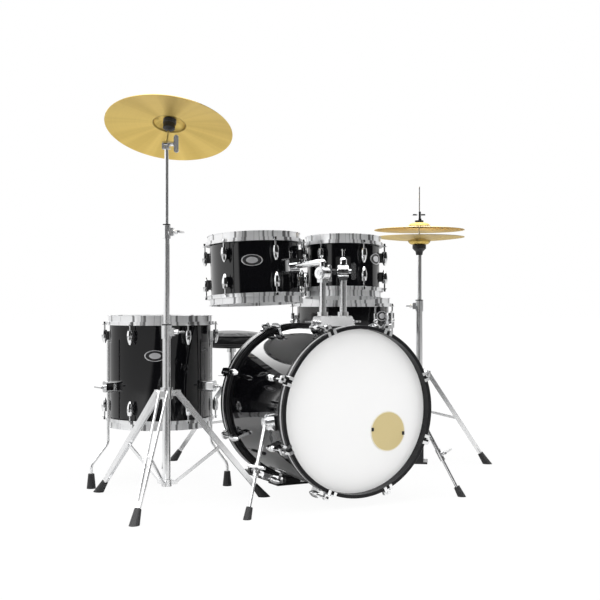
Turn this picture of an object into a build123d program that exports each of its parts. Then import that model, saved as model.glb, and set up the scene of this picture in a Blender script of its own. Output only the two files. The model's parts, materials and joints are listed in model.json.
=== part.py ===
from build123d import *
from math import cos, hypot, radians, sin, sqrt, tan
import os

# Acoustic drum kit: bass drum, two toms, floor tom, snare, hi-hat, crash cymbal and throne.
# Millimetres, Z up, the audience side of the kit faces -Y, the origin is on the floor below its middle.

os.makedirs("parts", exist_ok=True)

# Clearances
seat_gap = 0.3
slide_gap = 0.05

# Where each unit stands on the floor
bass_at = (-95.0, -358.5)
large_tom_at = (-236.0, -128.5)
small_tom_at = (75.0, -193.5)
floor_tom_at = (-472.0, 159.5)
snare_at = (270.0, 146.5)
crash_at = (-604.0, -256.5)
hihat_at = (582.0, 78.5)
throne_at = (-63.0, 456.5)

# Drum shells, heads and steel hoops
shell_wall = 7.0
bearing_edge = 4.0
film = 0.6
flesh_ring_height = 8.0
flesh_ring_depth = 6.0
flesh_ring_width = 9.0
collar_gap = 0.6
hoop_steel = 2.2
hoop_rise = 17.0
hoop_drop = 14.0
hoop_lip = 5.0
ear_width = 16.0
rod_offset = 18.0
rod_radius = 2.75
rod_hole = 3.2
rod_reach = 16.0
rod_washer = 5.5
rod_key = 6.5
rod_key_height = 9.0
lug_length = 48.0
lug_drop = 34.0
lug_belly = 10.5
lug_neck = 8.0
lug_tail = 3.0
lug_foot_width = 10.0
tom_lug_count = 6

# Bass drum
bass_diameter = 508.0
bass_depth = 406.0
bass_axis_height = 295.0
bass_lug_count = 8
bass_hoop_width = 36.0
bass_hoop_thickness = 11.4
bass_hoop_edge = 1.0
bass_rod_offset = 27.0
bass_lug_length = 60.0
bass_lug_drop = 38.0
bass_lug_belly = 11.0
claw_width = 31.0
claw_finger = 10.0
claw_thickness = 4.5
claw_lip = 11.0
claw_boss_height = 12.0
claw_boss_width = 25.0
claw_bend = 1.5
claw_boss_edge = 6.0
port_radius = 62.0
port_thickness = 2.0
port_edge = 1.0
port_offset = (119.0, -70.0)

# Bass drum spurs
spur_pivot_y = -141.0
spur_pivot_drop = 25.0
spur_foot_x = 385.0
spur_foot_y = -234.7
spur_radius = 6.5
spur_rod = 4.8
spur_sleeve_radius = 8.8
spur_sleeve_length = 40.0
spur_sleeve_at = 0.5
spur_wing_way = (0.5, -0.85)
spur_block_length = 50.0
spur_block_height = 44.0
spur_block_front = 22.0
spur_bracket_radius = 25.0
spur_bracket_height = 20.0
spur_pin_radius = 5.0
spur_knuckle_radius = 15.0
spur_knuckle_height = 15.0
spur_tip_length = 36.0
spur_tip_radius = 13.0
spur_tip_wall = 5.0

# Toms and their holders
large_tom_diameter = 305.0
large_tom_depth = 203.0
large_tom_height = 745.0
small_tom_diameter = 254.0
small_tom_depth = 178.0
small_tom_height = 755.0
tom_tilt = 3.0
tom_lug_turn = 29.0
mount_y = -63.0
mount_width = 118.0
mount_depth = 72.0
mount_height = 40.0
mount_taper = 9.0
mount_edge = 4.0
mount_top_depth = 46.0
mount_slope = 22.0
post_hole_gap = 1.0
post_spread = 38.0
post_radius = 11.1
post_tail = 75.0
post_collar_radius = 17.0
post_collar_height = 13.0
knuckle_pin = 5.0
knuckle_radius = 21.0
knuckle_width = 10.0
knuckle_cheek = 9.0
knuckle_root = 9.0
elbow_rise = 34.0
elbow_radius = 12.0
elbow_length = 30.0
arm_radius = 10.0
bracket_depth = 34.0
bracket_width = 50.0
bracket_height = 48.0
bracket_edge = 6.0
bracket_bolt_radius = 6.0
bracket_bolt_height = 20.0
bracket_cap_radius = 8.0
bracket_cap_height = 6.0

# Floor tom
floor_tom_diameter = 356.0
floor_tom_depth = 356.0
floor_tom_middle = 393.0
floor_tom_lug_turn = 38.5
floor_leg_angles = (65.5, 189.0, 309.0)
floor_leg_radius = 4.75
floor_leg_offset = 26.0
floor_leg_top = 505.0
floor_leg_knee = 150.0
floor_leg_ankle = 78.0
floor_foot_radius = 267.0
floor_leg_bend = 30.0
leg_bracket_drop = 50.0
leg_bracket_height = 38.0
leg_bracket_width = 30.0
leg_bracket_depth = 40.0
leg_bracket_edge = 8.0
leg_bolt_gap = 2.0

# Rubber feet
foot_height = 50.0
foot_top_radius = 10.5
foot_base_radius = 15.5
foot_floor = 12.0
peg_radius = 7.0

# Tripods: leg straps, pivots and stays
strap_width = 16.0
strap_thickness = 3.0
strap_end = 6.0
leg_spread_top = 13.0
leg_spread_foot = 5.0
leg_pin = 3.0
collar_wall = 7.0
collar_height = 36.0
collar_reach = 22.0
collar_side_gap = 1.0
stay_width = 10.0
stay_pin = 2.5
stay_eye = 6.0
stay_eye_width = 5.0
fork_plate = 3.0
hub_height = 22.0
hub_reach = 16.0
peg_length = 72.0
ankle_length = 58.0

# Crash cymbal stand
crash_leg_angles = (-126.6, -6.6, 113.4)
crash_foot_radius = 324.0
crash_collar_height = 348.0
crash_hub_height = 66.0
crash_base_tube = 12.7
crash_middle_tube_radius = 9.5
crash_upper_tube_radius = 6.6
tube_wall = 1.6
crash_clamp_low = 540.0
crash_clamp_high = 855.0
crash_wing = -40.0
crash_tilter_height = 1132.0
clamp_height = 42.0
clamp_wall = 7.0
tube_overlap = 170.0
crash_tilt = 21.0
crash_tilt_azimuth = 50.0
crash_rise = 73.0
crash_radius = 203.0
crash_bow = 18.0
crash_bell_radius = 52.0
crash_bell_height = 16.0
bell_flat = 22.0
cymbal_thickness = 1.4
cymbal_hole = 6.5
tilter_rod = 4.0
tilter_pin = 4.0
tilter_eye = 10.0
tilter_width = 12.0
tilter_cheek = 6.0
tilter_rod_end = 48.0
felt_radius = 21.0
felt_height = 14.0
cup_radius = 19.0
cup_stem = 9.0
cup_flare = 7.0
cup_height = 24.0
sleeve_radius = 5.8

# Hi-hat
hihat_leg_angles = (-35.8, 84.2, 204.2)
hihat_pedal_azimuth = 144.2
hihat_foot_radius = 265.0
hihat_collar_height = 355.0
hihat_hub_height = 205.0
hihat_base_tube = 12.7
hihat_upper_tube_radius = 9.5
hihat_clamp_height = 620.0
hihat_wing = 152.0
hihat_tube_top = 822.0
hihat_radius = 178.0
hihat_bow = 13.0
hihat_bell_radius = 45.0
hihat_bell_height = 15.0
hihat_edge_height = 892.0
hihat_gap = 30.0
hihat_rod = 3.2
hihat_rod_top = 1093.0
hihat_rod_bottom = 90.0
rod_guide_gap = 1.0
seat_cup_radius = 27.0
seat_cup_foot = 12.5
seat_cup_neck = 15.0
seat_cup_neck_height = 14.0
seat_cup_flare_height = 26.0
seat_cup_edge = 2.0
clutch_radius = 7.5
clutch_length = 44.0
clutch_collar = 3.0
clutch_collar_height = 7.0
clutch_bolt_drop = 10.0
clutch_wing = 62.0
clutch_felt_radius = 17.0
clutch_felt_height = 9.0

# Pedals, shared by the hi-hat and the bass drum
board_length = 205.0
board_toe = 20.0
board_width = 82.0
board_thickness = 6.0
board_lift = 13.0
rib_count = 7
rib_width = 5.0
rib_height = 1.6
heel_length = 50.0
heel_height = 18.0
hinge_pin = 4.0
hinge_barrel = 8.0
side_rail = 5.0
rail_tail = 20.0
hihat_pedal_reach = 305.0
hihat_board_length = 265.0
hihat_board_lift = 9.0
hihat_frame_size = 64.0
hihat_upright = 32.0
hihat_frame_height = 112.0
hihat_bridge = 14.0
hihat_socket = 20.0

# Bass pedal
pedal_axle_height = 196.0
pedal_axle_back = 44.0
pedal_post_spread = 53.0
pedal_post_radius = 7.0
pedal_axle = 5.0
beater_length = 150.0
beater_back = 26.0
beater_rod = 3.5
beater_rod_end = 12.0
hammer_radius = 24.0
hammer_length = 38.0
hammer_edge = 5.0
cam_radius = 26.0
cam_width = 18.0
plate_thickness = 4.0
jaw_width = 56.0
jaw_reach = 16.0
jaw_thickness = 9.0
jaw_clear = 2.0
jaw_gap = 1.3

# Snare drum and stand
snare_diameter = 356.0
snare_depth = 140.0
snare_middle = 564.0
snare_lug_turn = 38.4
snare_lug_length = 58.0
snare_lug_ball = 10.0
strainer_turn = -52.0
strainer_height = 62.0
strainer_width = 26.0
strainer_depth = 18.0
lever_length = 56.0
lever_width = 12.0
lever_thickness = 7.0
wire_count = 20
wire_radius = 0.9
wire_pitch = 2.6
wire_length = 300.0
wire_clip = 12.0
snare_leg_angles = (40.0, 160.0, 280.0)
snare_foot_radius = 250.0
snare_collar_height = 250.0
snare_hub_height = 120.0
snare_base_tube = 12.7
snare_post_radius = 9.5
snare_clamp_height = 330.0
snare_wing = 100.0
snare_pivot_height = 420.0
basket_turn = 8.4
basket_arm = 6.0
basket_hub = 18.0
basket_hub_height = 15.6
basket_stem = 5.5
basket_gap = 1.0
basket_upright = 5.0
basket_shelf = 4.2
basket_rise = 22.0

# Throne
throne_leg_angles = (149.0, 29.0, 269.0)
throne_foot_radius = 236.0
throne_collar_height = 290.0
throne_hub_height = 160.0
throne_base_tube = 15.0
throne_post_radius = 11.0
throne_clamp_height = 345.0
throne_wing = 210.0
throne_overlap = 136.0
throne_plate_radius = 80.0
throne_plate_thickness = 6.0
seat_underside = 460.0
seat_thickness = 58.0
seat_radius = 150.0
seat_crown = 14.0
seat_side_draw = 7.0

# Wing bolts
wing_span = 40.0
wing_height = 16.0
wing_thickness = 5.0
bolt_radius = 4.0
bolt_hub = 7.0
bolt_hub_length = 12.0
bolt_head_height = 5.0
nut_hub = 8.0

UP = Vector(0, 0, 1)
ROOT = (Align.CENTER, Align.CENTER, Align.MIN)


def finish(builder, name):
    """Names a finished piece and writes it."""
    builder.part.label = name
    export_step(builder.part, f"parts/{name}.step")


def spot(place, height):
    """A level plane above a place on the floor."""
    return Plane(origin=(place[0], place[1], height))


def polar(place, radius, angle, height):
    """The point at a radius and an angle about a vertical line."""
    turn = radians(angle)
    return Vector(place[0] + radius * cos(turn), place[1] + radius * sin(turn), height)


def flipped(plane):
    """The same plane facing the other way."""
    return Plane(origin=plane.origin, x_dir=plane.x_dir, z_dir=-plane.z_dir)


def bar(start, end, radius, mode=Mode.ADD):
    """A straight round bar between two points."""
    path = Vector(*end) - Vector(*start)
    with Locations(Plane(origin=start, z_dir=path)):
        Cylinder(radius, path.length, align=ROOT, mode=mode)


def turned(plane, outline, mode=Mode.ADD):
    """An outline of radius and height points, spun about the plane's axis."""
    side = Plane(origin=plane.origin, x_dir=plane.x_dir, z_dir=-plane.y_dir)
    with BuildSketch(side) as section:
        with BuildLine():
            Polyline(*outline, close=True)
        make_face()
    revolve(section.sketch, axis=Axis(plane.origin, plane.z_dir), mode=mode)


def tube(plane, outer, inner, length):
    """A round tube standing on a plane."""
    turned(plane, [(inner, 0), (outer, 0), (outer, length), (inner, length)])


def wing_bolt(face, reach=bolt_hub_length):
    """A wing bolt whose screw enters a face along the face plane's axis."""
    with Locations(face.offset(-reach)):
        Cylinder(bolt_radius, reach + bolt_hub_length, align=ROOT)
    with Locations(face):
        Cylinder(bolt_hub, bolt_hub_length, align=ROOT)
        with Locations((0, 0, bolt_hub_length)):
            Box(wing_thickness, wing_span, wing_height, align=ROOT)
            with Locations((0, wing_span / 2, wing_height / 2), (0, -wing_span / 2, wing_height / 2)):
                Cylinder(wing_height / 2, wing_thickness, rotation=(0, 90, 0))


def bolt_hole(face, reach=bolt_hub_length):
    """The hole that a wing bolt's screw runs into."""
    with Locations(face):
        Cylinder(bolt_radius + slide_gap, 2 * (reach + seat_gap), mode=Mode.SUBTRACT)


def lug_piece(radius, offset, length, belly, tail):
    """One lug: a teardrop body beside the shell on a foot shaped to the shell, its rod end at height zero."""
    axis = Plane(origin=(radius + offset, 0, 0))
    with BuildPart() as lug:
        with BuildSketch(Plane.XZ.shift_origin(axis.origin)):
            with BuildLine():
                Line((0, 0), (lug_neck, 0))
                ThreePointArc((lug_neck, 0), (belly, -length * 0.3), (tail, -length))
                Line((tail, -length), (0, -length))
                Line((0, -length), (0, 0))
            make_face()
        revolve(axis=Axis(axis.origin, axis.z_dir))
        with Locations((radius + offset / 2 - shell_wall / 2, 0, -length * 0.45)):
            Box(offset + shell_wall, lug_foot_width, length * 0.7)
        Cylinder(radius, 3 * length, mode=Mode.SUBTRACT)
        with Locations((radius + offset, 0, 0)):
            Cylinder(rod_radius + slide_gap, 2 * (rod_reach + seat_gap), mode=Mode.SUBTRACT)
    return lug.part


def rod_piece(radius, offset, ear_to_lug):
    """One tension rod: its shank from inside the lug up to the hoop, with a washer and a square key end."""
    with BuildPart() as rod:
        with Locations((radius + offset, 0, -rod_reach)):
            Cylinder(rod_radius, rod_reach + ear_to_lug, align=ROOT)
        with Locations((radius + offset, 0, ear_to_lug)):
            Cylinder(rod_washer, hoop_steel, align=ROOT)
            Box(rod_key, rod_key, rod_key_height, align=ROOT)
    return rod.part


def around(plane, heights, count, turn):
    """Places round a drum's axis at a height above and below its middle; the lower ones are turned over."""
    places = []
    for side in (1, -1):
        for index in range(count):
            spin = Location((0, 0, 0), (0, 0, turn + 360.0 / count * index))
            flip = Location((0, 0, 0), (0 if side > 0 else 180, 0, 0))
            places.append(plane.location * spin * Location((0, 0, side * heights)) * flip)
    return places


def make_shell(drum, diameter, depth):
    """A drum shell with a bearing edge cut inside each rim."""
    inner = diameter / 2 - shell_wall
    with BuildPart() as shell:
        tube(drum.offset(-depth / 2), diameter / 2, inner, depth)
        circles = shell.edges().filter_by(GeomType.CIRCLE)
        chamfer(circles.filter_by(lambda edge: abs(edge.radius - inner) < seat_gap), length=bearing_edge)
    return shell


def make_heads(name, drum, diameter, depth):
    """Both drum heads: film, collar and flesh ring in one turned piece each."""
    radius = diameter / 2
    rim = depth / 2
    inner = radius + collar_gap
    collar = inner + film + collar_gap
    ring_top = rim - flesh_ring_depth
    ring_low = ring_top - flesh_ring_height
    outline = [
        (0, rim),
        (0, rim + film),
        (collar, rim + film),
        (collar, ring_top),
        (inner + flesh_ring_width, ring_top),
        (inner + flesh_ring_width, ring_low),
        (inner, ring_low),
        (inner, rim),
    ]
    with BuildPart() as heads:
        turned(drum, outline)
        turned(flipped(drum), outline)
    finish(heads, name)


def hoop_ear_height(depth):
    """The top of a hoop's ears above the drum's middle."""
    return depth / 2 - hoop_drop


def make_hoops(name, drum, diameter, depth, count, turn):
    """Two flanged steel hoops, each pressing on its flesh ring, with an ear for every rod."""
    radius = diameter / 2
    rim = depth / 2
    ledge = rim - flesh_ring_depth
    wall = radius + 2 * collar_gap + film + seat_gap
    skirt = radius + collar_gap + flesh_ring_width + seat_gap
    low = hoop_ear_height(depth)
    outline = [
        (wall, ledge),
        (wall, rim + hoop_rise),
        (wall + hoop_lip, rim + hoop_rise),
        (wall + hoop_lip, rim + hoop_rise - hoop_steel),
        (wall + hoop_steel, rim + hoop_rise - hoop_steel),
        (wall + hoop_steel, ledge + hoop_steel),
        (skirt + hoop_steel, ledge + hoop_steel),
        (skirt + hoop_steel, low),
        (skirt + hoop_lip, low),
        (skirt + hoop_lip, low - hoop_steel),
        (skirt, low - hoop_steel),
        (skirt, ledge),
    ]
    middle = (skirt + hoop_steel / 2 + radius + rod_offset) / 2
    reach = radius + rod_offset - skirt - hoop_steel / 2
    with BuildPart() as hoops:
        turned(drum, outline)
        turned(flipped(drum), outline)
        with Locations(drum):
            for height in (low - hoop_steel / 2, hoop_steel / 2 - low):
                with Locations((0, 0, height)):
                    with PolarLocations(middle, count, turn):
                        Box(reach, ear_width, hoop_steel)
                    with PolarLocations(radius + rod_offset, count, turn):
                        Cylinder(ear_width / 2, hoop_steel)
                        Cylinder(rod_hole, 2 * hoop_steel, mode=Mode.SUBTRACT)
    finish(hoops, name)


def make_lugs(name, drum, diameter, depth, count, turn):
    """All lugs and tension rods of a drum with separate lugs for each head."""
    radius = diameter / 2
    lug = lug_piece(radius, rod_offset, lug_length, lug_belly, lug_tail)
    rod = rod_piece(radius, rod_offset, lug_drop - hoop_drop)
    with BuildPart() as lugs:
        add([lug.moved(place) for place in around(drum, depth / 2 - lug_drop, count, turn)])
        add([rod.moved(place) for place in around(drum, depth / 2 - lug_drop, count, turn)])
    finish(lugs, name)


# Bass drum: its axis runs along Y, local Y is up
bass_radius = bass_diameter / 2
bass_half = bass_depth / 2
bass = Plane(origin=(*bass_at, bass_axis_height), x_dir=(-1, 0, 0), z_dir=(0, 1, 0))
bass_hoop_inner = bass_radius + 2 * collar_gap + film + seat_gap
bass_hoop_outer = bass_hoop_inner + bass_hoop_thickness
bass_hoop_low = bass_half - flesh_ring_depth
bass_hoop_face = bass_hoop_low + bass_hoop_width
bass_lug_turn = 180.0 / bass_lug_count
mount_at = (bass_at[0], bass_at[1] + mount_y)
post_places = [(mount_at[0] - post_spread, mount_at[1]), (mount_at[0] + post_spread, mount_at[1])]

bass_shell = make_shell(bass, bass_diameter, bass_depth)
with bass_shell:
    for place in post_places:
        bar((*place, bass_axis_height), (*place, bass_axis_height + bass_radius + shell_wall),
            post_radius + post_hole_gap, mode=Mode.SUBTRACT)
finish(bass_shell, "bass_shell")
make_heads("bass_heads", bass, bass_diameter, bass_depth)

with BuildPart() as bass_hoops:
    for side in (bass, flipped(bass)):
        tube(side.offset(bass_hoop_low), bass_hoop_outer, bass_hoop_inner, bass_hoop_width)
    chamfer(bass_hoops.edges().filter_by(GeomType.CIRCLE), length=bass_hoop_edge)
finish(bass_hoops, "bass_hoops")

bass_lug = lug_piece(bass_radius, bass_rod_offset, bass_lug_length, bass_lug_belly, lug_tail)
with BuildPart() as bass_lugs:
    add([bass_lug.moved(place)
         for place in around(bass, bass_half - bass_lug_drop, bass_lug_count, bass_lug_turn)])
finish(bass_lugs, "bass_lugs")

# A claw hooks two fingers over the hoop's face, and its boss carries the tension rod outside the hoop
claw_seat = bass_hoop_outer + slide_gap
claw_outer = claw_seat + claw_thickness
boss_low = bass_hoop_face - bass_hoop_width / 2 - claw_boss_height / 2
boss_outer = bass_radius + bass_rod_offset + rod_washer + rod_radius
with BuildPart() as claw:
    with BuildSketch(Plane.XZ):
        with BuildLine():
            Polyline(
                (claw_seat, boss_low),
                (claw_outer, boss_low),
                (claw_outer, bass_hoop_face + seat_gap + claw_thickness),
                (claw_seat - claw_lip, bass_hoop_face + seat_gap + claw_thickness),
                (claw_seat - claw_lip, bass_hoop_face + seat_gap),
                (claw_seat, bass_hoop_face + seat_gap),
                close=True,
            )
        make_face()
    extrude(amount=claw_width / 2, both=True)
    fillet(claw.edges().filter_by(Axis.Y).sort_by(Axis.X)[-1:], radius=claw_bend)
    slot_low = boss_low + claw_boss_height
    with Locations((claw_seat, 0, slot_low)):
        Box(4 * claw_lip, claw_width - 2 * claw_finger, 2 * bass_hoop_width, align=ROOT, mode=Mode.SUBTRACT)
    with Locations((claw_seat, 0, boss_low)):
        Box(boss_outer - claw_seat, claw_boss_width, claw_boss_height,
            align=(Align.MIN, Align.CENTER, Align.MIN))
    fillet(claw.edges().filter_by(Axis.Z).sort_by(Axis.X)[-2:], radius=claw_boss_edge)
    with Locations((bass_radius + bass_rod_offset, 0, boss_low)):
        Cylinder(rod_hole, 4 * claw_boss_height, mode=Mode.SUBTRACT)
bass_rod = rod_piece(bass_radius, bass_rod_offset, slot_low - bass_half + bass_lug_drop)
with BuildPart() as bass_claws:
    add([claw.part.moved(place) for place in around(bass, 0, bass_lug_count, bass_lug_turn)])
    add([bass_rod.moved(place)
         for place in around(bass, bass_half - bass_lug_drop, bass_lug_count, bass_lug_turn)])
finish(bass_claws, "bass_claws")

port_plane = Plane(
    origin=(bass_at[0] + port_offset[0], bass_at[1] - bass_half - film, bass_axis_height + port_offset[1]),
    x_dir=(1, 0, 0), z_dir=(0, -1, 0))
with BuildPart() as bass_port_cover:
    with Locations(port_plane):
        Cylinder(port_radius, port_thickness, align=ROOT)
    fillet(bass_port_cover.edges().sort_by(Axis.Y)[:1], radius=port_edge)
finish(bass_port_cover, "bass_port_cover")


# Spurs: each folds about a pin that stands square to the shell
def spur_frame(side):
    """The plane on the shell where a spur's bracket sits, facing outwards."""
    out = sqrt(bass_radius**2 - spur_pivot_drop**2)
    normal = Vector(side * out, 0, -spur_pivot_drop).normalized()
    place = (bass_at[0] + side * out, bass_at[1] + spur_pivot_y, bass_axis_height - spur_pivot_drop)
    return Plane(origin=place, x_dir=(0, 1, 0), z_dir=normal)


spur_knuckle_low = spur_bracket_height + seat_gap
with BuildPart() as bass_spur_brackets:
    for side in (-1, 1):
        with Locations(spur_frame(side).offset(-shell_wall)):
            Cylinder(spur_bracket_radius, spur_bracket_height + shell_wall, align=ROOT)
            Cylinder(spur_pin_radius, spur_knuckle_low + spur_knuckle_height + shell_wall, align=ROOT)
            with Locations((-spur_block_front, 0, 0)):
                Box(spur_block_length, spur_block_height, spur_bracket_height + shell_wall, align=ROOT)
    with Locations(bass.offset(-bass_depth)):
        Cylinder(bass_radius, 2 * bass_depth, align=ROOT, mode=Mode.SUBTRACT)
finish(bass_spur_brackets, "bass_spur_brackets")

for side, name in ((-1, "bass_spur_left"), (1, "bass_spur_right")):
    frame = spur_frame(side)
    knuckle = frame.offset(spur_knuckle_low)
    start = frame.from_local_coords((0, 0, spur_knuckle_low + spur_knuckle_height / 2))
    foot = Vector(bass_at[0] + side * spur_foot_x, bass_at[1] + spur_foot_y, 0)
    lean = (foot - start).normalized()
    tip_top = foot - lean * spur_tip_length
    rod_end = foot - lean * foot_floor
    sleeve_at = start + (foot - start) * spur_sleeve_at
    wing_way = Vector(side * spur_wing_way[0], spur_wing_way[1], 0)
    wing_way = (wing_way - lean * wing_way.dot(lean)).normalized()
    wing_face = Plane(origin=sleeve_at + wing_way * spur_sleeve_radius, x_dir=lean, z_dir=wing_way)
    with BuildPart() as spur:
        with Locations(knuckle):
            Cylinder(spur_knuckle_radius, spur_knuckle_height, align=ROOT)
        bar(start + lean * spur_pin_radius * 2, sleeve_at, spur_radius)
        bar(sleeve_at, rod_end, spur_rod)
        sleeve_half = lean * (spur_sleeve_length / 2)
        bar(sleeve_at - sleeve_half, sleeve_at + sleeve_half, spur_sleeve_radius)
        wing_bolt(wing_face, spur_sleeve_radius)
        with Locations(knuckle):
            Cylinder(spur_pin_radius + slide_gap, 3 * spur_knuckle_height, mode=Mode.SUBTRACT)
    with BuildPart() as tip:
        with Locations(Plane(origin=tip_top, z_dir=lean)):
            Cone(spur_rod + spur_tip_wall, spur_tip_radius, spur_tip_length * 1.3, align=ROOT)
        bar(tip_top - lean, rod_end, spur_rod + slide_gap, mode=Mode.SUBTRACT)
        split(bisect_by=Plane.XY, keep=Keep.TOP)
    with BuildPart() as spur_leg:
        add([spur.part, tip.part])
    finish(spur_leg, name)

# Tom mount block on the bass drum, bored for the two posts
mount_top = bass_axis_height + bass_radius + mount_height
mount_faces = [
    Plane(origin=(mount_at[0] + side * mount_width / 2, mount_at[1], mount_top - mount_height * 0.45),
          x_dir=(0, 0, 1), z_dir=(side, 0, 0))
    for side in (-1, 1)
]
with BuildPart() as mount_block:
    with BuildSketch(Plane.XZ.offset(-mount_at[1] - mount_depth / 2)):
        with BuildLine():
            low = bass_axis_height + bass_radius - mount_height
            Polyline(
                (mount_at[0] - mount_width / 2 - mount_taper, low),
                (mount_at[0] + mount_width / 2 + mount_taper, low),
                (mount_at[0] + mount_width / 2, mount_top),
                (mount_at[0] - mount_width / 2, mount_top),
                close=True,
            )
        make_face()
    extrude(amount=mount_depth)
    fillet(mount_block.edges().filter_by(Axis.Y).sort_by(Axis.Z)[-2:], radius=mount_edge)
    with Locations(bass.offset(-bass_depth)):
        Cylinder(bass_radius, 2 * bass_depth, align=ROOT, mode=Mode.SUBTRACT)
    slope = radians(mount_slope)
    for way in (-1, 1):
        edge = (mount_at[0], mount_at[1] + way * mount_top_depth / 2, mount_top)
        split(bisect_by=Plane(origin=edge, z_dir=(0, way * cos(slope), sin(slope))), keep=Keep.BOTTOM)
    for place in post_places:
        bar((*place, bass_axis_height), (*place, mount_top + mount_height), post_radius + slide_gap,
            mode=Mode.SUBTRACT)
    for face in mount_faces:
        bolt_hole(face)
with BuildPart() as mount_bolts:
    for face in mount_faces:
        wing_bolt(face.offset(mount_taper / 2))
with BuildPart() as tom_mount_base:
    add([mount_block.part, mount_bolts.part])
finish(tom_mount_base, "tom_mount_base")


# Toms: a post in the mount, a knuckle at its top, and an elbowed arm that runs level into the drum's bracket
def make_tom(name, place, tom_place, diameter, depth, height):
    """A tom and its holder; the drum leans down a little on its far side."""
    radius = diameter / 2
    run = hypot(tom_place[0] - place[0], tom_place[1] - place[1])
    level = Vector((tom_place[0] - place[0]) / run, (tom_place[1] - place[1]) / run, 0)
    across = level.cross(UP)
    tilt = radians(tom_tilt)
    out = level * cos(tilt) - UP * sin(tilt)
    drum_up = level * sin(tilt) + UP * cos(tilt)
    span = (run - elbow_rise * sin(tilt)) / cos(tilt)
    pivot = Vector(place[0], place[1], height - elbow_rise * cos(tilt) + span * sin(tilt))
    elbow = pivot + drum_up * elbow_rise
    drum = Plane(origin=elbow + out * span, x_dir=Vector(1, 0, 0) - drum_up * drum_up.X, z_dir=drum_up)
    hinge = Plane(origin=pivot, x_dir=level, z_dir=across)
    knuckle_slot = knuckle_width + 2 * seat_gap
    cheek_span = knuckle_slot + 2 * knuckle_cheek

    with BuildPart() as post:
        bar((*place, mount_top - post_tail), pivot - UP * (knuckle_radius + knuckle_root), post_radius)
        with Locations((*place, mount_top + seat_gap)):
            Cylinder(post_collar_radius, post_collar_height, align=ROOT)
        with Locations(hinge):
            Cylinder(knuckle_radius, cheek_span)
            with Locations((0, -knuckle_radius, 0)):
                Box(2 * post_radius, 2 * knuckle_root, cheek_span)
            Cylinder(knuckle_radius + seat_gap, knuckle_slot, mode=Mode.SUBTRACT)
            Box(4 * knuckle_radius, 2 * knuckle_radius, knuckle_slot,
                align=(Align.CENTER, Align.MIN, Align.CENTER), mode=Mode.SUBTRACT)
            Cylinder(knuckle_pin, cheek_span)
        with Locations(flipped(hinge).offset(cheek_span / 2)):
            Cylinder(bolt_hub, bolt_head_height, align=ROOT)
        wing_bolt(hinge.offset(cheek_span / 2), knuckle_cheek)
    finish(post, name + "_post")

    face = span - radius
    seat = elbow + out * (face - bracket_edge)
    with BuildPart() as arm_tube:
        with Locations(Plane(origin=pivot, x_dir=out, z_dir=across)):
            Cylinder(knuckle_radius - seat_gap, knuckle_width)
            Box(2 * elbow_radius, elbow_rise, knuckle_width, align=(Align.CENTER, Align.MIN, Align.CENTER))
            Cylinder(knuckle_pin + slide_gap, 2 * knuckle_width, mode=Mode.SUBTRACT)
        with Locations(elbow):
            Sphere(elbow_radius)
        bar(pivot + drum_up * (knuckle_radius + post_hole_gap), elbow, elbow_radius)
        bar(elbow, elbow + out * elbow_length, elbow_radius)
        bar(elbow, seat, arm_radius)
    bracket_plane = Plane(origin=elbow + out * face, x_dir=across, z_dir=-out)
    with BuildPart() as bracket:
        with Locations(bracket_plane.offset(-shell_wall)):
            Box(bracket_width, bracket_height, bracket_depth + shell_wall, align=ROOT)
        fillet(bracket.edges().filter_by(Axis(elbow, out)), bracket_edge)
        with Locations(drum.offset(-depth)):
            Cylinder(radius, 2 * depth, align=ROOT, mode=Mode.SUBTRACT)
        bar(elbow, seat, arm_radius + slide_gap, mode=Mode.SUBTRACT)
        bolt_foot = elbow + out * (face - bracket_depth / 2) + drum_up * (bracket_height / 2)
        bolt_top = bolt_foot + drum_up * bracket_bolt_height
        bar(bolt_foot - drum_up * bracket_edge, bolt_top, bracket_bolt_radius)
        bar(bolt_top, bolt_top + drum_up * bracket_cap_height, bracket_cap_radius)
    with BuildPart() as arm_piece:
        add([arm_tube.part, bracket.part])
    finish(arm_piece, name + "_arm")

    finish(make_shell(drum, diameter, depth), name + "_shell")
    make_heads(name + "_heads", drum, diameter, depth)
    make_hoops(name + "_hoops", drum, diameter, depth, tom_lug_count, tom_lug_turn)
    make_lugs(name + "_lugs", drum, diameter, depth, tom_lug_count, tom_lug_turn)


make_tom("large_tom", post_places[0], large_tom_at, large_tom_diameter, large_tom_depth, large_tom_height)
make_tom("small_tom", post_places[1], small_tom_at, small_tom_diameter, small_tom_depth, small_tom_height)

# Floor tom: the drum slides on three bent legs, held in brackets on the shell
floor_tom = spot(floor_tom_at, floor_tom_middle)
floor_tom_radius = floor_tom_diameter / 2
floor_leg_line = floor_tom_radius + floor_leg_offset
finish(make_shell(floor_tom, floor_tom_diameter, floor_tom_depth), "floor_tom_shell")
make_heads("floor_tom_heads", floor_tom, floor_tom_diameter, floor_tom_depth)
make_hoops("floor_tom_hoops", floor_tom, floor_tom_diameter, floor_tom_depth, tom_lug_count,
           floor_tom_lug_turn)
make_lugs("floor_tom_lugs", floor_tom, floor_tom_diameter, floor_tom_depth, tom_lug_count,
          floor_tom_lug_turn)

with BuildPart() as floor_leg:
    with BuildLine():
        FilletPolyline(
            (floor_leg_line, 0, floor_leg_top),
            (floor_leg_line, 0, floor_leg_knee),
            (floor_foot_radius, 0, floor_leg_ankle),
            (floor_foot_radius, 0, foot_floor),
            radius=floor_leg_bend,
        )
    with BuildSketch(Plane.XY.offset(floor_leg_top).shift_origin((floor_leg_line, 0, floor_leg_top))):
        Circle(floor_leg_radius)
    sweep()
with BuildPart() as floor_tom_legs:
    add([floor_leg.part.moved(spot(floor_tom_at, 0).location * Location((0, 0, 0), (0, 0, angle)))
         for angle in floor_leg_angles])
finish(floor_tom_legs, "floor_tom_legs")

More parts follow.
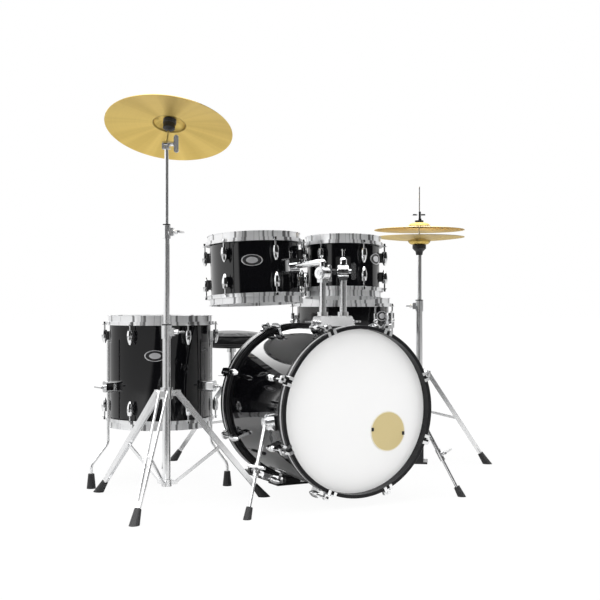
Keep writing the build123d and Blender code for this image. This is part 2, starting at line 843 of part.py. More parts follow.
bracket_face = Plane(origin=(floor_tom_radius + leg_bracket_depth, 0, 0), x_dir=(0, 0, 1), z_dir=(1, 0, 0))
leg_bolt_reach = leg_bracket_depth - floor_leg_offset - floor_leg_radius - leg_bolt_gap
with BuildPart() as leg_bracket:
    with Locations((floor_tom_radius - shell_wall, 0, 0)):
        Box(leg_bracket_depth + shell_wall, leg_bracket_width, leg_bracket_height,
            align=(Align.MIN, Align.CENTER, Align.CENTER))
    fillet(leg_bracket.edges().filter_by(Axis.X), radius=leg_bracket_edge)
    Cylinder(floor_tom_radius, 3 * leg_bracket_height, mode=Mode.SUBTRACT)
    with Locations((floor_leg_line, 0, 0)):
        Cylinder(floor_leg_radius + slide_gap, 3 * leg_bracket_height, mode=Mode.SUBTRACT)
    bolt_hole(bracket_face, leg_bolt_reach)
with BuildPart() as leg_bolt:
    wing_bolt(bracket_face.offset(seat_gap), leg_bolt_reach)
with BuildPart() as floor_tom_leg_brackets:
    for angle in floor_leg_angles:
        corner = floor_tom.offset(-leg_bracket_drop).location * Location((0, 0, 0), (0, 0, angle))
        add([leg_bracket.part.moved(corner), leg_bolt.part.moved(corner)])
finish(floor_tom_leg_brackets, "floor_tom_leg_brackets")


# Tripods: each leg is two flat straps on a pin at the collar, braced by a stay from the hub
def strap(start, end, across, width, thickness):
    """A flat strap that runs a little past two points, its broad sides facing across."""
    path = end - start
    lie = Plane(origin=(start + end) * 0.5, x_dir=path, z_dir=path.cross(across.cross(path)))
    with Locations(lie):
        Box(path.length + 2 * strap_end, width, thickness)


def tripod_pivot(tube_radius):
    """How far a tripod's leg pivots lie from its tube's middle."""
    return tube_radius + collar_reach


def leg_line(place, tube_radius, collar, foot, angle):
    """A leg's pivot, the spot where its line meets the floor, and its way down."""
    top = polar(place, tripod_pivot(tube_radius), angle, collar)
    tip = polar(place, foot, angle, 0)
    return top, tip, (tip - top).normalized()


def tripod(place, tube_radius, collar, hub, foot, angles):
    """The solids of a tripod's collar, hub, legs and stays, each a piece of its own."""
    pieces = []
    pivot_radius = tripod_pivot(tube_radius)
    hub_radius = tube_radius + hub_reach
    plate = leg_spread_top - strap_thickness / 2 - collar_side_gap
    with BuildPart() as collar_piece:
        tube(spot(place, collar - collar_height / 2), tube_radius + collar_wall, tube_radius + slide_gap,
             collar_height)
        for angle in angles:
            side = Plane(origin=(*place, collar), x_dir=polar((0, 0), 1, angle, 0), z_dir=(0, 0, 1))
            with Locations(side):
                with Locations((tube_radius + collar_wall / 2, 0, 0)):
                    Box(collar_reach + stay_eye, 2 * plate, 4 * leg_pin + stay_eye,
                        align=(Align.MIN, Align.CENTER, Align.CENTER))
                with Locations((pivot_radius, 0, 0)):
                    Cylinder(leg_pin + slide_gap, 4 * plate, rotation=(90, 0, 0), mode=Mode.SUBTRACT)
    pieces.append(collar_piece.part)
    with BuildPart() as hub_piece:
        tube(spot(place, hub - hub_height / 2), tube_radius + collar_wall / 2, tube_radius + slide_gap,
             hub_height)
        for angle in angles:
            side = Plane(origin=(*place, hub), x_dir=polar((0, 0), 1, angle, 0), z_dir=(0, 0, 1))
            fork = stay_eye_width / 2 + seat_gap + fork_plate / 2
            with Locations(side):
                for way in (-1, 1):
                    with Locations((tube_radius, way * fork, 0)):
                        Box(hub_reach + stay_eye, fork_plate, 2 * stay_eye,
                            align=(Align.MIN, Align.CENTER, Align.CENTER))
                with Locations((hub_radius, 0, 0)):
                    Cylinder(stay_pin, 2 * fork, rotation=(90, 0, 0))
        with Locations(spot(place, hub)):
            Cylinder(tube_radius + slide_gap, 2 * hub_height, mode=Mode.SUBTRACT)
    pieces.append(hub_piece.part)
    for angle in angles:
        side = radians(angle + 90)
        across = Vector(cos(side), sin(side), 0)
        top, tip, lean = leg_line(place, tube_radius, collar, foot, angle)
        knee = (top + tip) * 0.5
        ankle = tip - lean * ankle_length
        brace = polar(place, hub_radius, angle, hub)
        with BuildPart() as leg:
            for way in (-1, 1):
                strap(top + across * (way * leg_spread_top), ankle + across * (way * leg_spread_foot), across,
                      strap_width, strap_thickness)
            bar(top - across * leg_spread_top, top + across * leg_spread_top, leg_pin)
            spread = (leg_spread_top + leg_spread_foot) / 2
            bar(knee - across * spread, knee + across * spread, stay_pin)
            bar(tip - lean * foot_floor, tip - lean * peg_length, peg_radius)
        pieces.append(leg.part)
        with BuildPart() as stay:
            strap(brace, knee, across, stay_width, stay_eye_width)
            for eye in (brace, knee):
                bar(eye - across * (stay_eye_width / 2), eye + across * (stay_eye_width / 2), stay_eye)
            for eye in (brace, knee):
                bar(eye - across * stay_eye_width, eye + across * stay_eye_width, stay_pin + slide_gap,
                    mode=Mode.SUBTRACT)
        pieces.append(stay.part)
    return pieces


def clamp(place, height, bore, outer, azimuth):
    """A tube clamp on top of a tube: a turned sleeve, a lug on one side, and its wing bolt."""
    away = polar((0, 0), 1, azimuth, 0)
    body = Plane(origin=(*place, height - clamp_height / 2), x_dir=away, z_dir=UP)
    face = Plane(origin=polar(place, outer + clamp_wall + bolt_hub, azimuth, height), x_dir=UP, z_dir=away)
    with BuildPart() as sleeve:
        tube(body, outer + clamp_wall / 2, outer + slide_gap, clamp_height / 2)
        tube(body.offset(clamp_height / 2), outer + clamp_wall / 2, bore + slide_gap, clamp_height / 2)
        with Locations(body):
            with Locations((outer, 0, clamp_height / 2)):
                Box(clamp_wall + bolt_hub, 2 * bolt_hub, clamp_height * 0.6,
                    align=(Align.MIN, Align.CENTER, Align.CENTER))
        with Locations(body.offset(clamp_height / 2)):
            Cylinder(bore + slide_gap, 2 * clamp_height, mode=Mode.SUBTRACT)
        with Locations(body):
            Cylinder(outer + slide_gap, clamp_height, mode=Mode.SUBTRACT)
        bolt_hole(face)
    with BuildPart() as screw:
        wing_bolt(face.offset(seat_gap))
    return [sleeve.part, screw.part]


def base_tube(place, low, radius, top):
    """A stand's lower tube, from its foot to just below the shoulder in the clamp on its top."""
    with BuildPart() as piece:
        tube(spot(place, low), radius, radius - tube_wall, top - low - seat_gap)
    return piece.part


def group(name, pieces):
    """Writes several separate solids as one node."""
    with BuildPart() as together:
        add(pieces)
    finish(together, name)


def bow_outline(radius, bow, bell, rise):
    """A cymbal's thin section, from its rim at height zero over the bow to the bell's flat seat."""
    knee = Vector((radius + bell) * 0.5, bow * 0.62)
    foot = Vector(bell, bow)
    dome = Vector(bell_flat * 0.28 + bell * 0.72, bow + rise * 0.72)
    crown = Vector(bell_flat, bow + rise)
    down = Vector(0, -cymbal_thickness)
    with BuildLine() as edge:
        ThreePointArc((radius, 0), knee, foot)
        ThreePointArc(foot, dome, crown)
        Polyline(crown, (cymbal_hole, crown.Y), (cymbal_hole, crown.Y - cymbal_thickness), crown + down)
        ThreePointArc(crown + down, dome + down, foot + down)
        ThreePointArc(foot + down, knee + down, (radius, -cymbal_thickness))
        Line((radius, -cymbal_thickness), (radius, 0))
    return edge.line


def make_cymbal(name, plane, outline):
    """A cymbal whose rim lies on a plane and whose bell rises along the plane's axis."""
    side = Plane(origin=plane.origin, x_dir=plane.x_dir, z_dir=-plane.y_dir)
    with BuildPart() as cymbal:
        with BuildSketch(side):
            with BuildLine():
                add(outline)
            make_face()
        revolve(axis=Axis(plane.origin, plane.z_dir))
    finish(cymbal, name)


fork_slot = tilter_width + 2 * seat_gap
fork_span = fork_slot + 2 * tilter_cheek


def tilter_fork(hinge):
    """A fork with a pin along the hinge plane's axis, its root below the pin."""
    with Locations(hinge):
        with Locations((0, -(tilter_eye + tilter_cheek) / 2, 0)):
            Box(2 * tilter_eye, tilter_eye + tilter_cheek, fork_span)
        Cylinder(tilter_eye, fork_span)
        Cylinder(tilter_eye + 2 * seat_gap, fork_slot, mode=Mode.SUBTRACT)
        Box(4 * tilter_eye, sqrt(2) * tilter_eye, fork_slot, mode=Mode.SUBTRACT)
        Cylinder(tilter_pin, fork_span)


def along_tilt(height):
    """The plane square to the crash cymbal's axis at a height above the tilter's pin."""
    return Plane(origin=tilt_pivot + tilt_axis * height, x_dir=tilt_across, z_dir=tilt_axis)


# Crash cymbal stand: base, middle and upper tube, each sliding in the clamp below it
group("crash_stand_base", [
    base_tube(crash_at, crash_hub_height - hub_height / 2, crash_base_tube, crash_clamp_low),
    *clamp(crash_at, crash_clamp_low, crash_middle_tube_radius, crash_base_tube, crash_wing),
])
group("crash_stand_legs", tripod(crash_at, crash_base_tube, crash_collar_height, crash_hub_height,
                                 crash_foot_radius, crash_leg_angles))
group("crash_middle_tube", [
    base_tube(crash_at, crash_clamp_low - tube_overlap, crash_middle_tube_radius, crash_clamp_high),
    *clamp(crash_at, crash_clamp_high, crash_upper_tube_radius, crash_middle_tube_radius, crash_wing),
])

# The tilter's fork tops the upper tube; the tilting rod carries cup, felts and cymbal
tilt_level = polar((0, 0), 1, crash_tilt_azimuth, 0)
tilt_across = tilt_level.cross(UP)
tilt_pivot = Vector(*crash_at, crash_tilter_height)
tilt_turn = radians(crash_tilt)
tilt_axis = UP * cos(tilt_turn) + tilt_level * sin(tilt_turn)
tilt_hinge = Plane(origin=tilt_pivot, x_dir=tilt_level, z_dir=tilt_across)
with BuildPart() as crash_upper_tube:
    bar((*crash_at, crash_clamp_high - tube_overlap), tilt_pivot - UP * (tilter_eye + tilter_cheek),
        crash_upper_tube_radius)
    tilter_fork(tilt_hinge)
    wing_bolt(tilt_hinge.offset(fork_span / 2), 0)
finish(crash_upper_tube, "crash_upper_tube")

bell_top = crash_rise + crash_bell_height
felt_low = bell_top - cymbal_thickness - seat_gap - felt_height
felt_high = felt_low + felt_height + cymbal_thickness + 2 * seat_gap
with BuildPart() as tilter_rod_piece:
    with Locations(tilt_hinge):
        Cylinder(tilter_eye, tilter_width)
        Cylinder(tilter_pin + slide_gap, 2 * tilter_width, mode=Mode.SUBTRACT)
    bar(along_tilt(tilter_eye - seat_gap).origin, along_tilt(bell_top + tilter_rod_end).origin, tilter_rod)
    turned(along_tilt(felt_low - cup_height), [
        (0, 0),
        (cup_stem, 0),
        (cup_radius, cup_flare),
        (cup_radius, cup_height),
        (0, cup_height),
    ])
with BuildPart() as wing_nut:
    with Locations(along_tilt(bell_top + felt_height + seat_gap)):
        Cylinder(nut_hub, bolt_hub_length, align=ROOT)
        with Locations((0, 0, bolt_hub_length / 2)):
            Box(wing_thickness, wing_span, wing_height, align=ROOT)
        Cylinder(tilter_rod + slide_gap, 6 * bolt_hub_length, mode=Mode.SUBTRACT)
group("crash_tilter", [tilter_rod_piece.part, wing_nut.part])

felt_bore = tilter_rod + slide_gap
with BuildPart() as sleeve_piece:
    tube(along_tilt(felt_low), felt_radius, felt_bore, felt_height)
    tube(along_tilt(felt_low), sleeve_radius, felt_bore, felt_high - felt_low)
with BuildPart() as top_felt:
    tube(along_tilt(felt_high), felt_radius, felt_bore, felt_height - seat_gap)
group("crash_felts", [sleeve_piece.part, top_felt.part])
crash_outline = bow_outline(crash_radius, crash_bow, crash_bell_radius, crash_bell_height)
make_cymbal("crash_cymbal", along_tilt(crash_rise - crash_bow), crash_outline)

# Hi-hat stand, cymbals and pull rod
hihat_bell_low = hihat_edge_height - hihat_bow - hihat_bell_height
hihat_top_edge = hihat_edge_height + hihat_gap
hihat_bell_top = hihat_top_edge + hihat_bow + hihat_bell_height
seat_height = hihat_bell_low - hihat_tube_top - seat_gap
group("hihat_stand_base", [
    base_tube(hihat_at, hihat_frame_height, hihat_base_tube, hihat_clamp_height),
    *clamp(hihat_at, hihat_clamp_height, hihat_upper_tube_radius, hihat_base_tube, hihat_wing),
    *tripod(hihat_at, hihat_base_tube, hihat_collar_height, hihat_hub_height, hihat_foot_radius,
            hihat_leg_angles),
])
with BuildPart() as hihat_upper_tube:
    tube(spot(hihat_at, hihat_clamp_height - tube_overlap), hihat_upper_tube_radius,
         hihat_upper_tube_radius - tube_wall, hihat_tube_top - hihat_clamp_height + tube_overlap)
    turned(spot(hihat_at, hihat_tube_top), [
        (hihat_rod + rod_guide_gap, 0),
        (seat_cup_foot, 0),
        (seat_cup_neck, seat_cup_neck_height),
        (seat_cup_radius, seat_cup_flare_height),
        (seat_cup_radius, seat_height - seat_cup_edge),
        (bell_flat - seat_cup_edge, seat_height),
        (hihat_rod + rod_guide_gap, seat_height),
    ])
finish(hihat_upper_tube, "hihat_upper_tube")
hihat_outline = bow_outline(hihat_radius, hihat_bow, hihat_bell_radius, hihat_bell_height)
make_cymbal("hihat_bottom_cymbal", flipped(spot(hihat_at, hihat_edge_height)), hihat_outline)
make_cymbal("hihat_top_cymbal", spot(hihat_at, hihat_top_edge), hihat_outline)
with BuildPart() as hihat_pull_rod:
    bar((*hihat_at, hihat_rod_bottom), (*hihat_at, hihat_rod_top), hihat_rod)
finish(hihat_pull_rod, "hihat_pull_rod")

clutch_bore = hihat_rod + slide_gap
with BuildPart() as hihat_clutch:
    turned(spot(hihat_at, hihat_bell_top + seat_gap), [
        (clutch_bore, 0),
        (clutch_felt_radius, 0),
        (clutch_felt_radius, clutch_felt_height),
        (clutch_radius + clutch_collar, clutch_felt_height),
        (clutch_radius + clutch_collar, clutch_felt_height + clutch_collar_height),
        (clutch_radius, clutch_felt_height + clutch_collar_height),
        (clutch_radius, clutch_length),
        (clutch_bore, clutch_length),
    ])
    sleeve_top = clutch_felt_height + cymbal_thickness + 3 * seat_gap
    turned(spot(hihat_at, hihat_bell_top - cymbal_thickness - clutch_felt_height - 2 * seat_gap), [
        (clutch_bore, 0),
        (clutch_felt_radius, 0),
        (clutch_felt_radius, clutch_felt_height),
        (cymbal_hole - seat_gap, clutch_felt_height),
        (cymbal_hole - seat_gap, sleeve_top),
        (clutch_bore, sleeve_top),
    ])
    bolt_height = hihat_bell_top + clutch_length - clutch_bolt_drop
    wing_bolt(Plane(origin=polar(hihat_at, clutch_radius, clutch_wing, bolt_height), x_dir=(0, 0, 1),
                    z_dir=polar((0, 0), 1, clutch_wing, 0)), clutch_radius)
    with Locations(spot(hihat_at, hihat_bell_top)):
        Cylinder(clutch_bore, 6 * clutch_length, mode=Mode.SUBTRACT)
finish(hihat_clutch, "hihat_clutch")


# Pedal boards hinge on a pin at the heel block
def pedal_frame_plane(place, azimuth):
    """A floor plane at a pedal's toe whose X points back to the heel."""
    return Plane(origin=(*place, 0), x_dir=polar((0, 0), 1, azimuth, 0), z_dir=(0, 0, 1))


def board_plane(toe, reach, lift):
    """The plane of a pedal board at its heel pin, sloping up towards the toe."""
    pin = toe.from_local_coords((reach - heel_length, 0, heel_height))
    rise = radians(lift)
    along = toe.x_dir * -cos(rise) + UP * sin(rise)
    return Plane(origin=pin, x_dir=along, z_dir=along.cross(toe.y_dir) * -1)


def heel_block(toe, reach):
    """The heel plate with two ears for the board's pin, joined to the frame by two rails."""
    pin = (reach - heel_length, 0, heel_height)
    ear = board_width / 2 + seat_gap + side_rail / 2
    with Locations(toe):
        with Locations((reach - heel_length + hinge_barrel + seat_gap * 2, 0, 0)):
            Box(heel_length - hinge_barrel, board_width, heel_height - hinge_pin,
                align=(Align.MIN, Align.CENTER, Align.MIN))
        for way in (-1, 1):
            with Locations((0, way * ear, 0)):
                Box(reach - heel_length + rail_tail, side_rail, 2 * plate_thickness,
                    align=(Align.MIN, Align.CENTER, Align.MIN))
            with Locations((pin[0], way * ear, 0)):
                Box(2 * hinge_barrel, side_rail, heel_height + hinge_barrel, align=ROOT)
            with Locations((reach - heel_length + hinge_barrel, way * (ear - side_rail / 2), 0)):
                Box(hinge_barrel, 2 * side_rail, plate_thickness, align=(Align.MIN, Align.CENTER, Align.MIN))
        with Locations(pin):
            Cylinder(hinge_pin, 2 * ear, rotation=(90, 0, 0))


def foot_board(board, length):
    """A ribbed pedal board from its heel barrel to its toe."""
    with Locations(board):
        Cylinder(hinge_barrel, board_width, rotation=(90, 0, 0))
        with Locations((0, 0, hinge_barrel - board_thickness)):
            Box(length, board_width, board_thickness, align=(Align.MIN, Align.CENTER, Align.MIN))
            for index in range(rib_count):
                with Locations((length * (index + 2) / (rib_count + 2.5), 0, board_thickness)):
                    Box(rib_width, board_width * (0.8 - 0.05 * index), rib_height, align=ROOT)
        Cylinder(hinge_pin + slide_gap, 2 * board_width, rotation=(90, 0, 0), mode=Mode.SUBTRACT)


hihat_toe = pedal_frame_plane(hihat_at, hihat_pedal_azimuth)
hihat_board = board_plane(hihat_toe, hihat_pedal_reach, hihat_board_lift)
with BuildPart() as hihat_pedal_frame:
    heel_block(hihat_toe, hihat_pedal_reach)
    with Locations(hihat_toe):
        with Locations((-hihat_frame_size / 2, 0, 0)):
            Box(hihat_frame_size, board_width + 2 * side_rail + 2 * seat_gap, 2 * plate_thickness,
                align=(Align.MIN, Align.CENTER, Align.MIN))
        for way in (-1, 1):
            with Locations((0, way * (board_width / 2 + seat_gap + side_rail / 2), 0)):
                Box(hihat_upright, side_rail, hihat_frame_height, align=ROOT)
        with Locations((0, 0, hihat_frame_height - hihat_bridge)):
            Box(hihat_upright, board_width + 2 * side_rail + 2 * seat_gap, hihat_bridge, align=ROOT)
        with Locations((0, 0, hihat_frame_height)):
            Cylinder(hihat_base_tube + collar_wall, hihat_socket, align=ROOT)
            Cylinder(hihat_base_tube + slide_gap, 2 * hihat_socket, align=ROOT, mode=Mode.SUBTRACT)
            Cylinder(hihat_rod + rod_guide_gap, 3 * hihat_bridge, mode=Mode.SUBTRACT)
finish(hihat_pedal_frame, "hihat_pedal_frame")
with BuildPart() as hihat_footboard:
    foot_board(hihat_board, hihat_board_length)
finish(hihat_footboard, "hihat_footboard")

# Bass pedal: frame clamped to the rear hoop, axle on two posts, board and beater
pedal_toe_y = bass_at[1] + bass_hoop_face
pedal_toe = Plane(origin=(bass_at[0], pedal_toe_y, 0), x_dir=(0, 1, 0), z_dir=(0, 0, 1))
pedal_reach = pedal_axle_back + board_length + heel_length
pedal_board = board_plane(pedal_toe, pedal_reach, board_lift)
hoop_low = bass_axis_height - bass_hoop_outer
axle_at = Vector(bass_at[0], pedal_toe_y + pedal_axle_back, pedal_axle_height)
with BuildPart() as pedal_frame:
    heel_block(pedal_toe, pedal_reach)
    with Locations(pedal_toe):
        with Locations((-jaw_reach, 0, 0)):
            Box(jaw_reach + pedal_axle_back + 2 * pedal_post_radius,
                2 * (pedal_post_spread + pedal_post_radius), 2 * plate_thickness,
                align=(Align.MIN, Align.CENTER, Align.MIN))
            Box(jaw_reach, jaw_width, hoop_low - seat_gap, align=(Align.MIN, Align.CENTER, Align.MIN))
        with Locations((jaw_gap, 0, 0)):
            Box(jaw_thickness, jaw_width, hoop_low + bass_hoop_thickness + jaw_thickness + jaw_clear,
                align=(Align.MIN, Align.CENTER, Align.MIN))
        with Locations((-jaw_reach, 0, hoop_low + bass_hoop_thickness + jaw_clear)):
            Box(jaw_reach + jaw_thickness, jaw_width, jaw_thickness,
                align=(Align.MIN, Align.CENTER, Align.MIN))
        for way in (-1, 1):
            with Locations((pedal_axle_back, way * pedal_post_spread, 0)):
                Cylinder(pedal_post_radius, pedal_axle_height + 2 * pedal_axle, align=ROOT)
            with Locations((pedal_axle_back, way * pedal_post_spread, pedal_axle_height)):
                Cylinder(2 * pedal_axle, 3 * pedal_post_radius, rotation=(90, 0, 0))
        with Locations((pedal_axle_back, 0, pedal_axle_height)):
            Cylinder(pedal_axle + slide_gap, 6 * pedal_post_spread, rotation=(90, 0, 0), mode=Mode.SUBTRACT)
finish(pedal_frame, "pedal_frame")
with BuildPart() as pedal_footboard:
    foot_board(pedal_board, board_length + board_toe)
finish(pedal_footboard, "pedal_footboard")

beater_turn = radians(beater_back)
beater_way = Vector(0, sin(beater_turn), cos(beater_turn))
hammer_at = axle_at + beater_way * beater_length
hammer_way = Vector(0, -cos(beater_turn), sin(beater_turn))
with BuildPart() as pedal_beater:
    axle_half = pedal_post_spread + 1.5 * pedal_post_radius
    bar(axle_at - Vector(axle_half, 0, 0), axle_at + Vector(axle_half, 0, 0), pedal_axle)
    bar(axle_at - Vector(cam_width / 2, 0, 0), axle_at + Vector(cam_width / 2, 0, 0), cam_radius)
    bar(axle_at, hammer_at + beater_way * beater_rod_end, beater_rod)
    hammer_half = hammer_way * (hammer_length / 2)
    bar(hammer_at - hammer_half, hammer_at + hammer_half, hammer_radius)
    circles = pedal_beater.edges().filter_by(GeomType.CIRCLE)
    fillet(circles.filter_by(lambda edge: abs(edge.radius - hammer_radius) < seat_gap), radius=hammer_edge)
finish(pedal_beater, "pedal_beater")

# Snare drum with double-ended lugs, wires and a throw-off
snare = spot(snare_at, snare_middle)
snare_radius = snare_diameter / 2
snare_half = snare_depth / 2
finish(make_shell(snare, snare_diameter, snare_depth), "snare_shell")
make_heads("snare_heads", snare, snare_diameter, snare_depth)
make_hoops("snare_hoops", snare, snare_diameter, snare_depth, tom_lug_count, snare_lug_turn)
with BuildPart() as snare_lug:
    with Locations((snare_radius + rod_offset, 0, 0)):
        Cylinder(lug_neck, snare_lug_length)
        Sphere(snare_lug_ball)
    with Locations((snare_radius + rod_offset / 2 - shell_wall / 2, 0, 0)):
        Box(rod_offset + shell_wall, lug_foot_width, snare_lug_length * 0.7)
    Cylinder(snare_radius, 3 * snare_lug_length, mode=Mode.SUBTRACT)
    for way in (-1, 1):
        with Locations((snare_radius + rod_offset, 0, way * snare_lug_length / 2)):
            Cylinder(rod_radius + slide_gap, 2 * (rod_reach + seat_gap), mode=Mode.SUBTRACT)
snare_rod = rod_piece(snare_radius, rod_offset, snare_half - hoop_drop - snare_lug_length / 2)
with BuildPart() as snare_lugs:
    lug_places = around(snare, 0, tom_lug_count, snare_lug_turn)[:tom_lug_count]
    rod_places = around(snare, snare_lug_length / 2, tom_lug_count, snare_lug_turn)
    add([snare_lug.part.moved(place) for place in lug_places])
    add([snare_rod.moved(place) for place in rod_places])
finish(snare_lugs, "snare_lugs")

strainer = Plane(origin=(*snare_at, snare_middle), x_dir=polar((0, 0), 1, strainer_turn, 0), z_dir=(0, 0, 1))
strainer_face = snare_radius + strainer_depth
with BuildPart() as snare_strainer:
    with Locations(strainer):
        with Locations((snare_radius - shell_wall, 0, 0)):
            Box(shell_wall + strainer_depth, strainer_width, strainer_height,
                align=(Align.MIN, Align.CENTER, Align.CENTER))
        with Locations((-snare_radius + shell_wall, 0, 0)):
            Box(shell_wall + strainer_depth, strainer_width, strainer_height * 0.7,
                align=(Align.MAX, Align.CENTER, Align.CENTER))
        Cylinder(snare_radius, 4 * strainer_height, mode=Mode.SUBTRACT)
        with Locations((strainer_face, 0, -strainer_height * 0.3)):
            Cylinder(hinge_pin, seat_gap + lever_thickness, rotation=(0, 90, 0),
                     align=(Align.CENTER, Align.CENTER, Align.MIN))
finish(snare_strainer, "snare_strainer")
with BuildPart() as strainer_lever:
    with Locations(strainer):
        with Locations((strainer_face + seat_gap, 0, -strainer_height * 0.3)):
            Box(lever_thickness, lever_width, lever_length, align=(Align.MIN, Align.CENTER, Align.MIN))
            Cylinder(lever_width * 0.75, lever_thickness, rotation=(0, 90, 0),
                     align=(Align.CENTER, Align.CENTER, Align.MIN))
            Cylinder(hinge_pin + slide_gap, 4 * lever_thickness, rotation=(0, 90, 0), mode=Mode.SUBTRACT)
finish(strainer_lever, "strainer_lever")

wire_plane = strainer.offset(-snare_half - film - seat_gap - wire_radius)
with BuildPart() as snare_wires:
    with Locations(wire_plane):
        with GridLocations(0, wire_pitch, 1, wire_count):
            Cylinder(wire_radius, wire_length, rotation=(0, 90, 0))
        with GridLocations(wire_length, 0, 2, 1):
            Box(wire_clip, wire_count * wire_pitch, 2 * wire_radius)
finish(snare_wires, "snare_wires")

# Snare stand: tripod base, post with a pivot, and a basket of three arms under the drum's lower hoop
snare_pivot = Vector(*snare_at, snare_pivot_height)
basket_hinge = Plane(origin=snare_pivot, x_dir=(0, 1, 0), z_dir=(1, 0, 0))
group("snare_stand_base", [
    base_tube(snare_at, snare_hub_height - hub_height / 2, snare_base_tube, snare_clamp_height),
    *clamp(snare_at, snare_clamp_height, snare_post_radius, snare_base_tube, snare_wing),
    *tripod(snare_at, snare_base_tube, snare_collar_height, snare_hub_height, snare_foot_radius,
            snare_leg_angles),
])
with BuildPart() as snare_post:
    bar((*snare_at, snare_clamp_height - tube_overlap), snare_pivot - UP * (tilter_eye + tilter_cheek),
        snare_post_radius)
    tilter_fork(basket_hinge)
finish(snare_post, "snare_post")

hoop_bottom = snare_middle - snare_half - hoop_rise
basket_radius = snare_radius + 2 * collar_gap + film + seat_gap + hoop_lip + basket_arm + basket_gap
basket_low = snare_pivot_height + basket_rise
with BuildPart() as snare_basket:
    with Locations(basket_hinge):
        Cylinder(tilter_eye, tilter_width)
    bar(snare_pivot, (*snare_at, basket_low), basket_stem)
    with Locations((*snare_at, basket_low)):
        Cylinder(basket_hub, basket_hub_height)
    with Locations(basket_hinge):
        Cylinder(tilter_pin + slide_gap, 2 * tilter_width, mode=Mode.SUBTRACT)
    for index in range(3):
        angle = basket_turn + 120.0 * index
        shelf = hoop_bottom - basket_shelf - seat_gap
        bar(polar(snare_at, basket_hub / 2, angle, basket_low),
            polar(snare_at, basket_radius + basket_arm + basket_gap, angle, basket_low), basket_arm)
        bar(polar(snare_at, basket_radius, angle, basket_low),
            polar(snare_at, basket_radius, angle, hoop_bottom + 2 * basket_arm), basket_upright)
        bar(polar(snare_at, basket_radius, angle, shelf),
            polar(snare_at, basket_radius - 3 * basket_arm, angle, shelf), basket_shelf)
finish(snare_basket, "snare_basket")

# Throne: tripod base, post with a swivel plate, and a round cushion
group("throne_base", [
    base_tube(throne_at, throne_hub_height - hub_height / 2, throne_base_tube, throne_clamp_height),
    *clamp(throne_at, throne_clamp_height, throne_post_radius, throne_base_tube, throne_wing),
    *tripod(throne_at, throne_base_tube, throne_collar_height, throne_hub_height, throne_foot_radius,
            throne_leg_angles),
])
plate_top = seat_underside - seat_gap
with BuildPart() as throne_post:
    bar((*throne_at, throne_clamp_height - throne_overlap), (*throne_at, plate_top), throne_post_radius)
    with Locations((*throne_at, plate_top)):
        Cylinder(throne_plate_radius, throne_plate_thickness, align=(Align.CENTER, Align.CENTER, Align.MAX))
        Cylinder(throne_post_radius + collar_wall, 4 * throne_plate_thickness,
                 align=(Align.CENTER, Align.CENTER, Align.MAX))
finish(throne_post, "throne_post")

with BuildPart() as throne_seat:
    seat_side = Plane(origin=(*throne_at, seat_underside), x_dir=(1, 0, 0), z_dir=(0, -1, 0))
    side_high = seat_thickness - seat_crown
    crown_radius = ((seat_radius - seat_side_draw) ** 2 + seat_crown**2) / (2 * seat_crown)
    with BuildSketch(seat_side):
        with BuildLine():
            Line((0, 0), (seat_radius - seat_side_draw * 2, 0))
            TangentArc((seat_radius - seat_side_draw * 2, 0), (seat_radius - seat_side_draw, seat_side_draw),
                       tangent=(1, 0))
            ThreePointArc((seat_radius - seat_side_draw, seat_side_draw),
                          (seat_radius, (seat_side_draw + side_high) / 2),
                          (seat_radius - seat_side_draw, side_high))
            RadiusArc((seat_radius - seat_side_draw, side_high), (0, seat_thickness), -crown_radius)
            Line((0, seat_thickness), (0, 0))
        make_face()
    revolve(axis=Axis((*throne_at, 0), (0, 0, 1)))
finish(throne_seat, "throne_seat")

# Rubber feet under every leg: upright under the floor tom, leaning with the legs of the stands
def rubber_foot(tip, lean, bore):
    """A tapered foot round the end of a leg, cut level at the floor."""
    flare = (foot_base_radius - foot_top_radius) / foot_height
    length = foot_height + 2 * foot_base_radius
    with BuildPart() as foot:
        with Locations(Plane(origin=tip - lean * foot_height, z_dir=lean)):
            Cone(foot_top_radius, foot_top_radius + flare * length, length, align=ROOT)
        bar(tip - lean * (foot_height + foot_floor), tip - lean * foot_floor, bore + slide_gap,
            mode=Mode.SUBTRACT)
        split(bisect_by=Plane.XY, keep=Keep.TOP)
    return foot.part


stands = [
    (crash_at, crash_base_tube, crash_collar_height, crash_foot_radius, crash_leg_angles),
    (hihat_at, hihat_base_tube, hihat_collar_height, hihat_foot_radius, hihat_leg_angles),
    (snare_at, snare_base_tube, snare_collar_height, snare_foot_radius, snare_leg_angles),
    (throne_at, throne_base_tube, throne_collar_height, throne_foot_radius, throne_leg_angles),
]
feet = [rubber_foot(polar(floor_tom_at, floor_foot_radius, angle, 0), -UP, floor_leg_radius)
        for angle in floor_leg_angles]
for place, tube_radius, collar, foot_radius, angles in stands:
    for angle in angles:
        top, tip, lean = leg_line(place, tube_radius, collar, foot_radius, angle)
        feet.append(rubber_foot(tip, lean, peg_radius))
group("rubber_feet", feet)
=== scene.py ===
# This lesson lights them like a catalogue picture, gives every surface a finish made of shader nodes, and
# models the small and soft pieces that the solids leave out.

import json
import math

import bpy
from mathutils import Matrix, Vector


